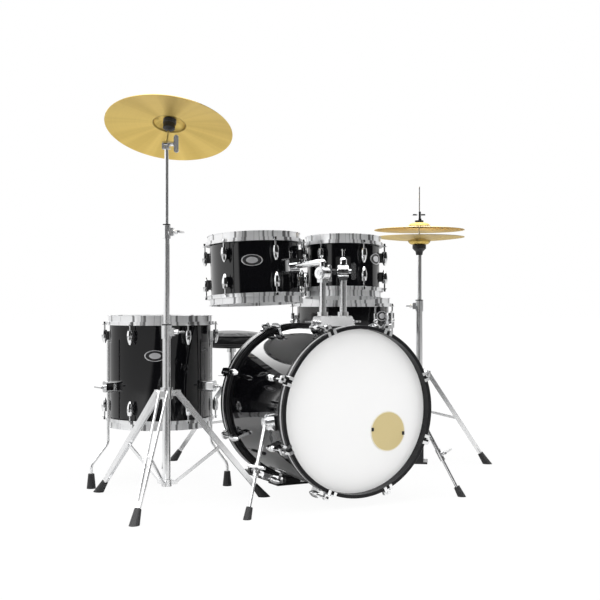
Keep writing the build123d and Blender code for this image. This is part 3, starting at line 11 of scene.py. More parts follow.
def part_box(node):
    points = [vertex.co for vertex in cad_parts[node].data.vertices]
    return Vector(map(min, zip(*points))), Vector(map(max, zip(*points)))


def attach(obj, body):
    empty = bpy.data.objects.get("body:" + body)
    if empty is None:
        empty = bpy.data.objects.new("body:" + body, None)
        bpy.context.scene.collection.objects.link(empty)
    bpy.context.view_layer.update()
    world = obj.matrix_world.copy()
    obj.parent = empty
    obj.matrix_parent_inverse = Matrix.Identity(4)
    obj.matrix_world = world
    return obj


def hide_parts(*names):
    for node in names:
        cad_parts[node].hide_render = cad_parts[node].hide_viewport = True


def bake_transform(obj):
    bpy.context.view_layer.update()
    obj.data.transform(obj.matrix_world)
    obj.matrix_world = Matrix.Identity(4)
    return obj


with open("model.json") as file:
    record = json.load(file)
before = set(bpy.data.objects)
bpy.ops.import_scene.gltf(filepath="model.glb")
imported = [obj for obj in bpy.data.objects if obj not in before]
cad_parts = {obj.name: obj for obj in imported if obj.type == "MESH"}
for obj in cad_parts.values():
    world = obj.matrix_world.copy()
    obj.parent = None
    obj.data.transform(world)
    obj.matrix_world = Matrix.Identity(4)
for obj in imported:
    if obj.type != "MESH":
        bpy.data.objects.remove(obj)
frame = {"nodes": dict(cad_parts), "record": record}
nodes = frame["nodes"]
joints = {joint["name"]: joint for joint in frame["record"]["behaviour"]["joints"]}
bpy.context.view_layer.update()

# A camera can be aimed by hand at a target, but then a small error in height tilts every rim. Here its
# place, its two angles and its lens are given as numbers, fitted to points of the drums in the picture.
# The long lens keeps the drums' rims nearly parallel.

# %% Camera
CAMERA_PLACE = (-1.755, -3.3465, 0.629)
CAMERA_YAW = math.radians(27.755)
CAMERA_PITCH = math.radians(0.206)
SENSOR = 36.0
LENS = 62.296
bpy.ops.object.select_all(action="DESELECT")
bpy.ops.object.camera_add(location=CAMERA_PLACE)
camera = bpy.context.active_object
camera.rotation_euler = (math.pi / 2 + CAMERA_PITCH, 0, -CAMERA_YAW)
camera.data.sensor_width = SENSOR
camera.data.lens = LENS
bpy.context.scene.camera = camera
look = Vector((math.sin(CAMERA_YAW), math.cos(CAMERA_YAW), 0))
image_right = Vector((look.y, -look.x, 0))
print("camera at", CAMERA_PLACE)

# %% [markdown]
# ## Shader arithmetic
#
# A finish is a small formula: a colour here, a groove there, a smudge over both. Node by node that is hard
# to read, so one class wraps a socket and turns Python arithmetic into Math nodes. Every other node comes
# from its `node` method, which sets the node's own settings first and its sockets after that.


# %% The socket class
class Wire:
    """One output socket of a node tree. Arithmetic on it adds Math nodes."""

    def __init__(self, tree, socket=None):
        self.tree = tree
        self.socket = socket

    def node(self, kind, settings=None, inputs=None, output=0):
        made = self.tree.nodes.new("ShaderNode" + kind)
        for name, value in (settings or {}).items():
            setattr(made, name, value)
        for key, value in (inputs or {}).items():
            if isinstance(value, Wire):
                self.tree.links.new(value.socket, made.inputs[key])
            else:
                made.inputs[key].default_value = value
        return Wire(self.tree, made.outputs[output])

    def math(self, operation, first, second=0.0):
        return self.node("Math", {"operation": operation}, {0: first, 1: second})

    def __add__(self, other):
        return self.math("ADD", self, other)

    def __radd__(self, other):
        return self.math("ADD", other, self)

    def __sub__(self, other):
        return self.math("SUBTRACT", self, other)

    def __rsub__(self, other):
        return self.math("SUBTRACT", other, self)

    def __mul__(self, other):
        return self.math("MULTIPLY", self, other)

    def __rmul__(self, other):
        return self.math("MULTIPLY", other, self)

    def __abs__(self):
        return self.math("ABSOLUTE", self)

    def step(self, low, high):
        """A smooth ramp from nought at low to one at high."""
        return self.node("MapRange", {"interpolation_type": "SMOOTHSTEP"},
                         {"Value": self, "From Min": low, "From Max": high})

    def within(self, middle, reach, soft):
        """One where the value is nearer to the middle than reach, with a soft edge."""
        return 1 - abs(self - middle).step(reach - soft, reach + soft)

    def vector(self, operation, first, second, output=0):
        return self.node("VectorMath", {"operation": operation}, {0: first, 1: second}, output)

    def mixed(self, first, second):
        """The first colour where this mask is nought and the second where it is one."""
        return self.node("Mix", {"data_type": "RGBA"}, {0: self, 6: first, 7: second}, 2)

    def spoke(self, point, centre, axis):
        """The vector from an axis through the centre straight out to a point."""
        offset = self.vector("SUBTRACT", point, tuple(centre))
        along = self.vector("DOT_PRODUCT", offset, tuple(axis), 1)
        level = self.node("VectorMath", {"operation": "SCALE"}, {0: tuple(axis), "Scale": along})
        return self.vector("SUBTRACT", offset, level)

    def length(self):
        return self.node("VectorMath", {"operation": "LENGTH"}, {0: self}, 1)

    def bearing(self):
        """The direction of this vector, one long."""
        return self.node("VectorMath", {"operation": "NORMALIZE"}, {0: self})


print("Wire has", len([name for name in vars(Wire) if name[0] != "_"]), "named methods")

# %% [markdown] ## The studio  The picture is a cut-out on white. Black gloss and chrome have no colour of
# their own: they show what stands round them. So the world is plain white to the camera, and only to a
# reflection it is a studio: a bright wall to the left, a dark room behind the camera, a paler wall to the
# right, a soft ceiling, and a bright band high on the far side, which lies as a pale gleam along the top
# of the bass drum's shell.

# %% World
EDGE = math.radians(3.0)
DARK_FROM = math.radians(-39.0)
DARK_TO = math.radians(106.0)
CEILING_FROM = math.radians(40.0)
FAR_TURN = (0.62, 0.78)
FAR_FOOT = (0.18, 0.28)
FAR_TOP = (0.47, 0.56)
DARK_ROOM = 0.02
LEFT_WALL = 1.15
RIGHT_WALL = 0.75
FAR_WALL = 2.6
CEILING = 3.0
SOFT_FILL = 0.5
world = bpy.data.worlds.new("studio")
bpy.context.scene.world = world
world.use_nodes = True
world.node_tree.nodes.clear()
sky = Wire(world.node_tree)
ray = sky.node("TexCoord", output="Generated")
rightward = sky.vector("DOT_PRODUCT", ray, tuple(image_right), 1)
backward = sky.vector("DOT_PRODUCT", ray, tuple(-look), 1)
upward = sky.vector("DOT_PRODUCT", ray, (0, 0, 1), 1)
turn = sky.math("ARCTAN2", rightward, backward)
left_wall = 1 - turn.step(DARK_FROM - EDGE, DARK_FROM + EDGE)
right_wall = turn.step(DARK_TO - EDGE, DARK_TO + EDGE)
far_band = upward.step(*FAR_FOOT) * (1 - upward.step(*FAR_TOP))
far_wall = (0 - backward).step(*FAR_TURN) * far_band
walls = DARK_ROOM + left_wall * LEFT_WALL + right_wall * RIGHT_WALL + far_wall * FAR_WALL
ceiling = upward.step(math.sin(CEILING_FROM - EDGE), math.sin(CEILING_FROM + EDGE))
studio_light = walls * (1 - ceiling) + ceiling * CEILING
eye = sky.node("LightPath", output="Is Camera Ray")
glossy = sky.node("LightPath", output="Is Glossy Ray")
clear = sky.node("LightPath", output="Is Transmission Ray")
seen = sky.math("MAXIMUM", eye, clear)
strength = seen + glossy * studio_light + (1 - seen) * (1 - glossy) * SOFT_FILL
background = sky.node("Background", inputs={"Color": (1, 1, 1, 1), "Strength": strength})
output = world.node_tree.nodes.new("ShaderNodeOutputWorld")
world.node_tree.links.new(background.socket, output.inputs["Surface"])
bpy.context.scene.view_settings.view_transform = "Standard"
print("world has", len(world.node_tree.nodes), "nodes")

# %% [markdown]
# Four large soft lamps light the matt surfaces: heads, disc, felt and floor. Small lamps would throw hard
# shadows, which the picture doesn't have. Lamps leave bright squares in gloss, so they are hidden from
# reflections, and the studio world above is all that the gloss sees.

# %% Lamps
LAMPS = {
    "ceiling_lamp": ((-0.3, -0.6, 3.4), (0, 0, 0.4), 3.2, 70),
    "left_lamp": ((-3.2, -2.2, 1.9), (0, 0, 0.6), 2.4, 33),
    "front_lamp": ((-0.6, -4.4, 1.6), (0, 0, 0.6), 2.2, 25),
    "right_lamp": ((2.6, -3.0, 1.6), (0, 0, 0.5), 2.2, 18),
}
for name, (place, aim, size, power) in LAMPS.items():
    bpy.ops.object.light_add(type="AREA", location=place)
    lamp = bpy.context.active_object
    lamp.name = name
    lamp.data.size = size
    lamp.data.energy = power
    lamp.rotation_euler = (Vector(aim) - Vector(place)).to_track_quat("-Z", "Y").to_euler()
    lamp.visible_glossy = False
print(len(LAMPS), "lamps")

# %% [markdown] ## The floor  Only the shadows of the floor should show. A shadow catcher would need a
# second picture to lay them on, so the floor is a mix of its own white glow and a matt surface that takes
# shadows. Farther out the glow takes over, so that no horizon shows.

# %% Floor
FLOOR_SIZE = 60
FLOOR_DROP = 0.0005
FLOOR_GLOW = 1.02
NEAR_GLOW = 0.92
GLOW_FROM = (0.9, 1.7)
DARK_AHEAD = (0.9, 1.6)
DARK_ASIDE = (1.2, 2.2)
bpy.ops.mesh.primitive_plane_add(size=FLOOR_SIZE, location=(0, 0, -FLOOR_DROP))
floor = bpy.context.active_object
floor.name = "studio_floor"
floor_paint = bpy.data.materials.new("studio_floor")
floor_paint.use_nodes = True
floor_paint.node_tree.nodes.clear()
paint = Wire(floor_paint.node_tree)
ground = paint.node("TexCoord", output="Object")
grain = paint.node("TexNoise", inputs={"Vector": ground, "Scale": 3.0, "Detail": 2.0})
pale_floor = grain.mixed((0.90, 0.90, 0.90, 1), (0.93, 0.93, 0.93, 1))
ahead = paint.vector("DOT_PRODUCT", ground, tuple(-look), 1).step(*DARK_AHEAD)
aside = abs(paint.vector("DOT_PRODUCT", ground, tuple(image_right), 1)).step(*DARK_ASIDE)
mirrored = paint.node("LightPath", output="Is Glossy Ray") * ahead * (1 - aside)
matt = paint.node("BsdfDiffuse", inputs={"Color": mirrored.mixed(pale_floor, (0.05, 0.05, 0.05, 1))})
glow = paint.node("Emission", inputs={"Color": (1, 1, 1, 1), "Strength": FLOOR_GLOW})
share = NEAR_GLOW + ground.length().step(*GLOW_FROM) * (1 - NEAR_GLOW)
to_eye = paint.node("LightPath", output="Is Camera Ray") * share
both = paint.node("MixShader", inputs={0: to_eye, 1: matt, 2: glow})
floor_out = floor_paint.node_tree.nodes.new("ShaderNodeOutputMaterial")
floor_paint.node_tree.links.new(both.socket, floor_out.inputs["Surface"])
floor.data.materials.append(floor_paint)
print("floor", FLOOR_SIZE, "m wide with", len(floor_paint.node_tree.nodes), "nodes")

# %% [markdown]
# ## Finishes
#
# Each finish starts from one Principled shader. Numbers that are the same all over go straight onto its
# sockets; only colour, roughness and the normal vary over the surface. The patterns are noise in the
# piece's own coordinates, so they need no picture and no unwrapping, and stay in place when the piece
# moves.


# %% A finish
def finish(name, **sockets):
    """A new material, its wire and its Principled shader, with the constant sockets set."""
    material = bpy.data.materials.new(name)
    material.use_nodes = True
    shader = material.node_tree.nodes["Principled BSDF"]
    for key, value in sockets.items():
        shader.inputs[key.replace("_", " ").title().replace("Ior", "IOR")].default_value = value
    return material, Wire(material.node_tree), shader


def feed(wire, shader, **links):
    """Links varying values to the shader's sockets."""
    for key, value in links.items():
        wire.tree.links.new(value.socket, shader.inputs[key.replace("_", " ").title()])


def place_of(wire):
    """The point of the surface, in the piece's own coordinates."""
    return wire.node("TexCoord", output="Object")


def noise(wire, scale, detail=2.0):
    """Clouds of noise fixed to the piece: a larger scale gives smaller clouds."""
    return wire.node("TexNoise", inputs={"Vector": place_of(wire), "Scale": scale, "Detail": detail})


def bump(wire, height, strength, distance):
    """A relief for the Normal socket."""
    return wire.node("Bump", inputs={"Height": height, "Strength": strength, "Distance": distance})


print("shader tools:", *(tool.__name__ for tool in (finish, feed, place_of, noise, bump)))

# %% [markdown]
# Felt, rubber, vinyl, nylon and painted metal differ in colour, gloss and the size of their grain, and in
# little else. So one function makes them all: a cloud of noise shifts the colour, and a fine grain shows in
# the roughness and in the relief.


# %% Plain finishes
def plain(name, dark, light, rough, grain_scale, grain_depth, **sockets):
    """A coloured surface whose grain shows in its colour, its roughness and its relief."""
    material, wire, shader = finish(name, **sockets)
    cloud = noise(wire, 11.0, 3.0)
    grain = noise(wire, grain_scale, 2.0)
    feed(wire, shader, base_color=cloud.mixed((*dark, 1), (*light, 1)), roughness=rough + grain * 0.14,
         normal=bump(wire, grain, 0.35, grain_depth))
    return material


felt = plain("black_felt", (0.008, 0.008, 0.008), (0.022, 0.022, 0.022), 0.8, 900.0, 0.0012, sheen_weight=0.4)
rubber = plain("black_rubber", (0.012, 0.012, 0.013), (0.026, 0.026, 0.027), 0.5, 420.0, 0.0004)
powder = plain("black_metal", (0.010, 0.010, 0.011), (0.020, 0.020, 0.021), 0.34, 700.0, 0.0003)
tan = plain("disc_tan", (0.56, 0.455, 0.215), (0.62, 0.515, 0.265), 0.48, 600.0, 0.0002)
vinyl = plain("black_vinyl", (0.008, 0.008, 0.009), (0.016, 0.016, 0.017), 0.42, 320.0, 0.0006,
              specular_ior_level=0.25)
wire_steel = plain("steel_wire", (0.52, 0.52, 0.53), (0.66, 0.66, 0.67), 0.22, 500.0, 0.0001, metallic=1.0)
silver = plain("badge_silver", (0.78, 0.78, 0.80), (0.90, 0.90, 0.92), 0.42, 800.0, 0.0001, metallic=1.0)
pale = plain("port_rim", (0.72, 0.68, 0.56), (0.80, 0.76, 0.64), 0.45, 500.0, 0.0001)
print("plain finishes:", felt.name, rubber.name, powder.name, tan.name, vinyl.name, wire_steel.name)

# %% [markdown]
# The shells are wrapped in high gloss black film, the heads are white film, and the bass drum's hoops are
# lacquered wood with a pale inlay let into their outer face. The inlay could be a solid of its own. It is
# flush with the wood, so a stripe in the colour shows the same: it is drawn where the distance along the
# drum is the inlay's and the distance from the drum's axis is the hoop's outside.

# %% Film, lacquer and heads
BASS_INLAY = 0.215
BASS_INLAY_HALF = 0.0046


def black_wrap():
    """High gloss plastic film glued round a shell: nearly black, with the faint ripple of a rolled sheet."""
    material, wire, shader = finish("black_wrap", coat_weight=0.4, coat_roughness=0.02,
                                    specular_ior_level=0.42)
    cloud = noise(wire, 7.0)
    ripple = noise(wire, 38.0, 1.0)
    feed(wire, shader, base_color=cloud.mixed((0.0015, 0.0015, 0.002, 1), (0.004, 0.004, 0.005, 1)),
         roughness=0.035 + cloud * 0.03, normal=bump(wire, ripple, 0.03, 0.002))
    return material


def head_film():
    """Smooth white polyester film, with a soft sheen and a slight unevenness."""
    material, wire, shader = finish("head_film", specular_ior_level=0.4)
    cloud = noise(wire, 5.0)
    grain = noise(wire, 900.0, 1.0)
    feed(wire, shader, base_color=cloud.mixed((0.85, 0.85, 0.85, 1), (0.90, 0.90, 0.895, 1)),
         roughness=0.34 + grain * 0.1, normal=bump(wire, grain, 0.05, 0.0003))
    return material


def hoop_lacquer(centre, outer, inlay, half):
    """Black lacquer on wood, with a grey inlay round the outer face of each hoop."""
    material, wire, shader = finish("hoop_black", specular_ior_level=0.18)
    point = place_of(wire)
    along = wire.vector("DOT_PRODUCT", wire.vector("SUBTRACT", point, tuple(centre)), (0, 1, 0), 1)
    radius = wire.spoke(point, centre, (0, 1, 0)).length()
    stripe = abs(along).within(inlay, half, 0.0003) * radius.step(outer - 0.002, outer - 0.001)
    cloud = noise(wire, 9.0, 3.0)
    lacquered = cloud.mixed((0.006, 0.006, 0.007, 1), (0.013, 0.013, 0.014, 1))
    feed(wire, shader, base_color=stripe.mixed(lacquered, (0.50, 0.50, 0.51, 1)),
         roughness=0.2 + cloud * 0.12)
    return material


hoops_low, hoops_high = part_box("bass_hoops")
bass_centre = (hoops_low + hoops_high) / 2
bass_outer = (hoops_high.x - hoops_low.x) / 2
wrap = black_wrap()
film = head_film()
lacquer = hoop_lacquer(bass_centre, bass_outer, BASS_INLAY, BASS_INLAY_HALF)
print("bass hoops reach", round(bass_outer, 4), "inlay at", BASS_INLAY)

# %% [markdown]
# Chrome is a mirror on the lugs and softer on tubes, posts and steel hoops. The hoops of the real kit show
# dark upright streaks, which are other drums and lugs mirrored in their flanges. The studio is too plain to
# give those, so they are painted into the colour as noise, a painted reflection. The noise reads only the
# direction from the drum's axis, so each streak runs straight across the whole hoop. A share of plain white
# paint in tubes and hoops keeps them bright.

# %% Chrome
# How strongly the painted reflections darken the hoops' colour.
HOOP_PAINTED_REFLECTION = 0.85
HOOP_METAL = 0.72
HOOP_ROUGH = 0.26
TUBE_METAL = 0.9


def chrome(name, rough, metallic=1.0, drum=None):
    """Chrome plate with faint smudges from handling, and on a drum's hoops painted reflections all round."""
    material, wire, shader = finish(name, metallic=metallic)
    smudge = noise(wire, 16.0, 4.0)
    plate = smudge.mixed((0.86, 0.87, 0.88, 1), (0.95, 0.95, 0.955, 1))
    if drum:
        way = wire.spoke(place_of(wire), drum, (0, 0, 1)).bearing()
        painted_reflections = wire.node("TexNoise", inputs={"Vector": way, "Scale": 11.0, "Detail": 2.0})
        # Dark streaks here are painted reflections of other drums and lugs, not the plate's own colour.
        plate = (painted_reflections.step(0.52, 0.64) * HOOP_PAINTED_REFLECTION).mixed(plate, (0.10, 0.10, 0.105, 1))
    feed(wire, shader, base_color=plate, roughness=rough + smudge * 0.06)
    return material


chrome_plate = chrome("chrome", 0.03)
tube_chrome = chrome("tube_chrome", 0.17, TUBE_METAL)
post_chrome = chrome("post_chrome", 0.2)
print("chrome:", chrome_plate.name, tube_chrome.name, post_chrome.name)

# %% [markdown]
# Cymbal brass is turned on a lathe, so its fine rings run round the cymbal's own axis, and light lies on it
# in fans. Rings cut into the mesh would need thousands of faces. A sine of the distance from the axis, fed
# to a bump, gives the same glint. The fans of light are painted into the colour: noise in the direction
# from the axis makes wedges lighter and darker, a painted highlight and painted darkening.

# %% Brass
CRASH_BELL = 0.052
HIHAT_BELL = 0.045
BELL_LINE = 0.0022
RING_DENSITY = 2600.0


def brass(name, centre, axis, bell):
    """Lathe-turned cymbal brass: fine rings, fans of painted light and a dark line at the foot of the bell.
    """
    material, wire, shader = finish(name, metallic=1.0, anisotropic=0.7)
    spoke = wire.spoke(place_of(wire), centre, axis)
    radius = spoke.length()
    # Fans of painted light: noise in the direction from the axis gives lighter and darker wedges in the
    # colour.
    painted_fan_noise = wire.node("TexNoise", inputs={"Vector": spoke.bearing(), "Scale": 2.4, "Detail": 3.0})
    painted_fans = painted_fan_noise.step(0.38, 0.62)
    rings = wire.math("SINE", radius * RING_DENSITY)
    bands = wire.node("TexNoise", {"noise_dimensions": "1D"}, {"W": radius, "Scale": 240.0, "Detail": 3.0})
    cloud = noise(wire, 9.0, 3.0)
    # The colour mixes the lathe bands and clouds with the painted light of the fans.
    tone_and_painted_fans = bands * 0.35 + cloud * 0.25 + painted_fans * 0.4
    gold_and_painted_fans = tone_and_painted_fans.mixed((0.62, 0.43, 0.11, 1), (0.88, 0.66, 0.21, 1))
    foot = radius.within(bell, BELL_LINE, 0.0014)
    feed(wire, shader, base_color=(foot * 0.6).mixed(gold_and_painted_fans, (0.22, 0.14, 0.035, 1)),
         roughness=0.26 + bands * 0.16, normal=bump(wire, rings * 0.5 + bands, 0.22, 0.0006))
    return material


UP = Vector((0, 0, 1))
crash_pivot = Vector(joints["crash_spin"]["pos_m"])
crash_axis = Vector(joints["crash_spin"]["axis"])
hihat_low, hihat_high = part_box("hihat_top_cymbal")
hihat_centre = (hihat_low + hihat_high) / 2
brass_of = {"crash_cymbal": brass("brass_crash", crash_pivot, crash_axis, CRASH_BELL)}
for part in frame["record"]["subparts"]:
    if part["material_slot"] == "cymbal_brass" and part["node"] not in brass_of:
        brass_of[part["node"]] = brass("brass_" + part["node"], hihat_centre, UP, HIHAT_BELL)
print("brass for", list(brass_of))

# %% [markdown]
# ## Painting the solids
#
# The record names one finish for every solid, so most are painted in one loop. Tubes, posts and hoops are
# all chrome there, and get the softer kinds by name. The hoops of each drum have a chrome of their own,
# because their painted reflections run round that drum's middle.

# %% Paint by the record
TUBES = ("crash_stand_base", "crash_stand_legs", "crash_middle_tube", "crash_upper_tube",
         "hihat_stand_base", "hihat_upper_tube", "hihat_pull_rod", "snare_stand_base", "snare_basket",
         "snare_post", "throne_base", "throne_post", "floor_tom_legs", "bass_spur_left", "bass_spur_right")
POSTS = ("large_tom_post", "small_tom_post", "tom_mount_base")
finish_of = {
    "black_wrap": wrap, "head_film": film, "chrome": chrome_plate, "disc_tan": tan, "black_felt": felt,
    "black_rubber": rubber, "black_metal": powder, "black_vinyl": vinyl, "steel_wire": wire_steel,
    "hoop_black": lacquer,
}
for part in frame["record"]["subparts"]:
    name = part["node"]
    if name in brass_of:
        material = brass_of[name]
    elif name in TUBES:
        material = tube_chrome
    elif name in POSTS:
        material = post_chrome
    elif name.endswith("_hoops") and part["material_slot"] == "chrome":
        low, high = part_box(part["node"])
        # Each drum's hoops get their own chrome, with painted reflections round that drum's axis.
        material = chrome(name + "_chrome", HOOP_ROUGH, HOOP_METAL, (low + high) / 2)
    else:
        material = finish_of[part["material_slot"]]
    nodes[name].data.materials.clear()
    nodes[name].data.materials.append(material)

# %% [markdown]
# A few solids carry a second finish: a rubber tip on a spur, felt in the hi-hat's clutch, a black cup under
# a cymbal, the black ring of a bass head. They could be split into more solids, but here only the look
# changes. So their faces are found by where they lie, and get the second material's index.


# %% Second finishes
def paint_faces(name, material, test):
    """Gives the faces of a node whose middle passes the test a second material."""
    mesh = nodes[name].data
    mesh.materials.append(material)
    chosen = [face for face in mesh.polygons if test(face.center)]
    for face in chosen:
        face.material_index = len(mesh.materials) - 1
    print(name, len(chosen), "faces", material.name)


def from_line(point, origin, axis):
    """How far a point is from an axis through the origin."""
    offset = point - origin
    return (offset - axis * offset.dot(axis)).length


SPUR_TIP = 0.045
FLESH_RING = 0.2025
FLESH_INNER = 0.235
HIHAT_CUP = 0.822
FELT_INNER = 0.0085
FELT_OUTER = 0.0175
FELT_TOP = 0.0095
CUP_LOW = 0.049
CUP_HIGH = 0.0735
CUP_BORE = 0.0055
PEDAL_PLATE = 0.03
PLATE_DROP = 0.008
HAMMER_BAND = 0.05
plate_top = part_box("throne_post")[1].z
beater_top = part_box("pedal_beater")[1].z
for spur in ("bass_spur_left", "bass_spur_right"):
    paint_faces(spur, rubber, lambda point: point.z < SPUR_TIP)
paint_faces("bass_heads", powder, lambda point: abs(point.y - bass_centre.y) < FLESH_RING
            and from_line(point, bass_centre, Vector((0, 1, 0))) > FLESH_INNER)
paint_faces("hihat_upper_tube", powder, lambda point: point.z > HIHAT_CUP)
paint_faces("hihat_clutch", felt, lambda point: FELT_INNER < from_line(point, hihat_centre, UP) < FELT_OUTER
            and point.z < hihat_high.z + FELT_TOP)
paint_faces("crash_tilter", powder, lambda point: CUP_LOW < (point - crash_pivot).dot(crash_axis) < CUP_HIGH
            and from_line(point, crash_pivot, crash_axis) > CUP_BORE)
paint_faces("pedal_frame", powder, lambda point: point.z < PEDAL_PLATE)
paint_faces("throne_post", powder, lambda point: point.z > plate_top - PLATE_DROP)
paint_faces("pedal_beater", felt, lambda point: point.z > beater_top - HAMMER_BAND)

# %% [markdown]
# ## Modelling tools
#
# Every new piece starts as a primitive and is worked on in edit mode. By hand, faces are clicked. In a
# script they are picked by where they lie and which way they look, and a modifier is added and applied in
# one go.

# %% Picking and shaping
STEEP = math.radians(50)


def begin(name):
    """Names the primitive just added."""
    piece = bpy.context.active_object
    piece.name = name
    piece.data.name = name
    return piece


def pick(piece, test):
    """Enters edit mode with the faces selected whose middle and normal pass the test."""
    bpy.ops.object.mode_set(mode="EDIT")
    bpy.ops.mesh.select_mode(type="FACE")
    bpy.ops.mesh.select_all(action="DESELECT")
    bpy.ops.object.mode_set(mode="OBJECT")
    for face in piece.data.polygons:
        face.select = bool(test(face.center, face.normal))
    bpy.ops.object.mode_set(mode="EDIT")


def shape(piece, kind, **settings):
    """Adds one modifier and applies it."""
    bpy.ops.object.mode_set(mode="OBJECT")
    modifier = piece.modifiers.new(kind.lower(), kind)
    for name, value in settings.items():
        setattr(modifier, name, value)
    bpy.ops.object.modifier_apply(modifier=modifier.name)


print("modelling tools:", *(tool.__name__ for tool in (begin, pick, shape)))

# %% [markdown]
# A finished piece has its place in its mesh and its object at the origin. Doubles are merged first, then
# faces are turned outward, because on an open seam Blender can't tell which side is out.

# %% Closing and settling
SAME_POINT = 0.00001


def close(piece, angle=35.0):
    """Applies the piece's place, merges doubles, turns the faces outward and smooths by angle."""
    if bpy.context.object.mode != "OBJECT":
        bpy.ops.object.mode_set(mode="OBJECT")
    bpy.ops.object.select_all(action="DESELECT")
    piece.select_set(True)
    bpy.context.view_layer.objects.active = piece
    bpy.ops.object.transform_apply(location=True, rotation=True, scale=True)
    bpy.ops.object.mode_set(mode="EDIT")
    bpy.ops.mesh.select_all(action="SELECT")
    bpy.ops.mesh.remove_doubles(threshold=SAME_POINT)
    bpy.ops.mesh.normals_make_consistent(inside=False)
    bpy.ops.object.mode_set(mode="OBJECT")
    bpy.ops.object.shade_smooth_by_angle(angle=math.radians(angle))
    return piece


def twin(piece, name):
    """A copy of a piece with a mesh of its own."""
    copy = piece.copy()
    copy.data = piece.data.copy()
    copy.name = name
    copy.data.name = name
    bpy.context.collection.objects.link(copy)
    return copy


def settle(piece, body, slot, *materials):
    """Paints a piece and lets it ride on its body. The slot is not used."""
    piece.data.materials.clear()
    for material in materials:
        piece.data.materials.append(material)
    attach(piece, body)


print("closing tools:", *(tool.__name__ for tool in (close, twin, settle)))

# %% [markdown]
# ## Badges
#
# An oval badge sits on each tom and on the snare drum. It is left bare: a rim, a dark groove and a plain
# plate. It is modelled flat once, as a round disc with rings inset into its top, and then squeezed to an
# oval.

# %% One flat badge
BADGE_HALF = (0.036, 0.019)
BADGE_DEPTH = 0.0024
RIM_WIDTH = 0.09
GROOVE_WIDTH = 0.34
WALL_WIDTH = 0.02
PLATE_RING = 0.16
bpy.ops.object.select_all(action="DESELECT")
bpy.ops.mesh.primitive_cylinder_add(vertices=64, radius=1.0, depth=BADGE_DEPTH, end_fill_type="TRIFAN")
badge = begin("badge_flat")
pick(badge, lambda middle, normal: normal.z > 0.9)
for width, lift in ((RIM_WIDTH, 0), (WALL_WIDTH, -BADGE_DEPTH / 3), (GROOVE_WIDTH, 0),
                    (WALL_WIDTH, BADGE_DEPTH / 4), (PLATE_RING, 0), (PLATE_RING, 0)):
    bpy.ops.mesh.inset(thickness=width)
    bpy.ops.transform.translate(value=(0, 0, lift))
bpy.ops.object.mode_set(mode="OBJECT")
groove_outer = 1 - RIM_WIDTH - 0.015
groove_inner = groove_outer - GROOVE_WIDTH - 0.01
badge_dark = [face.index for face in badge.data.polygons
              if face.normal.z > 0.5 and groove_inner < face.center.xy.length < groove_outer]
badge.scale = (*BADGE_HALF, 1.0)
close(badge, 25.0)
print("badge with", len(badge.data.polygons), "faces,", len(badge_dark), "dark")

# %% [markdown]
# The real badge is bent to its shell. A Shrinkwrap modifier would flatten its relief onto the shell. So
# each point of a copy is turned round the drum by its X, raised by its Y, and set off by its Z from the
# place where a ray hits the shell.

# %% Lay the badges on the shells
BADGE_SINK = 0.0002
BADGES = {"large_tom": (-118.9, 0.0273), "small_tom": (-56.8, 0.0283), "floor_tom": (-116.0, 0.0587),
          "snare": (-63.2, 0.0186)}


def lay_on_shell(piece, shell, bearing, height):
    """Wraps a flat piece round a shell: X runs round it, Y up it and Z out of it."""
    low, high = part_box(shell)
    middle = (low + high) / 2
    reach = (high.x - low.x) / 2
    for vertex in piece.data.vertices:
        turn = math.radians(bearing) + vertex.co.x / reach
        out = Vector((math.cos(turn), math.sin(turn), 0))
        start = middle + out * 2 * reach + UP * (height + vertex.co.y)
        hit, place = nodes[shell].ray_cast(start, -out)[:2]
        skin = place if hit else start - out * reach
        vertex.co = skin + out * (vertex.co.z + BADGE_DEPTH / 2 - BADGE_SINK)


for drum, (bearing, height) in BADGES.items():
    copy = twin(badge, drum + "_badge")
    lay_on_shell(copy, drum + "_shell", bearing, height)
    settle(copy, drum, "chrome", silver, powder)
    for index in badge_dark:
        copy.data.polygons[index].material_index = 1
bpy.data.objects.remove(badge)
print(len(BADGES), "badges")

# %% [markdown]
# ## The port cover's rim
#
# The tan disc on the front head covers its port. It has a pale rim and two small black clips. A ring could
# be a torus, but the rim is flat with broken edges, so the ends of a cylinder are inset and bridged into a
# hole, and the edges are bevelled. The same tool makes the bushings and the tooth plates further down.


# %% Rim
def ring(name, outer, inner, depth, sides, edge):
    """A flat ring: the ends of a cylinder are inset and bridged into a hole, then its edges are bevelled."""
    bpy.ops.object.select_all(action="DESELECT")
    bpy.ops.mesh.primitive_cylinder_add(vertices=sides, radius=outer, depth=depth)
    piece = begin(name)
    pick(piece, lambda middle, normal: abs(normal.z) > 0.9)
    bpy.ops.mesh.inset(thickness=outer - inner)
    bpy.ops.mesh.bridge_edge_loops()
    bpy.ops.object.mode_set(mode="OBJECT")
    if edge:
        shape(piece, "BEVEL", width=edge, segments=2, limit_method="ANGLE", angle_limit=STEEP)
    return piece


def stand_on(axis, origin):
    """The matrix that takes Z to an axis and the origin to a place."""
    return Matrix.Translation(origin) @ axis.to_track_quat("Z", "Y").to_matrix().to_4x4()


RIM_OUT = 0.0012
RIM_IN = 0.0018
RIM_DEPTH = 0.0028
port_low, port_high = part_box("bass_port_cover")
port_centre = (port_low + port_high) / 2
port_radius = (port_high.x - port_low.x) / 2
rim = ring("port_rim", port_radius + RIM_OUT, port_radius - RIM_IN, RIM_DEPTH, 96, 0.0006)
rim.data.transform(stand_on(Vector((0, -1, 0)), port_centre))
close(rim)
settle(rim, "kit_base", "disc_tan", pale)
print("port rim", round(2 * port_radius, 4), "m across")

# %% [markdown]
# A clip is a small block with a raised front: the front of a box is inset, drawn out and bevelled. It is
# modelled once, at the origin, and the copy and the first are then moved to the two sides of the disc.

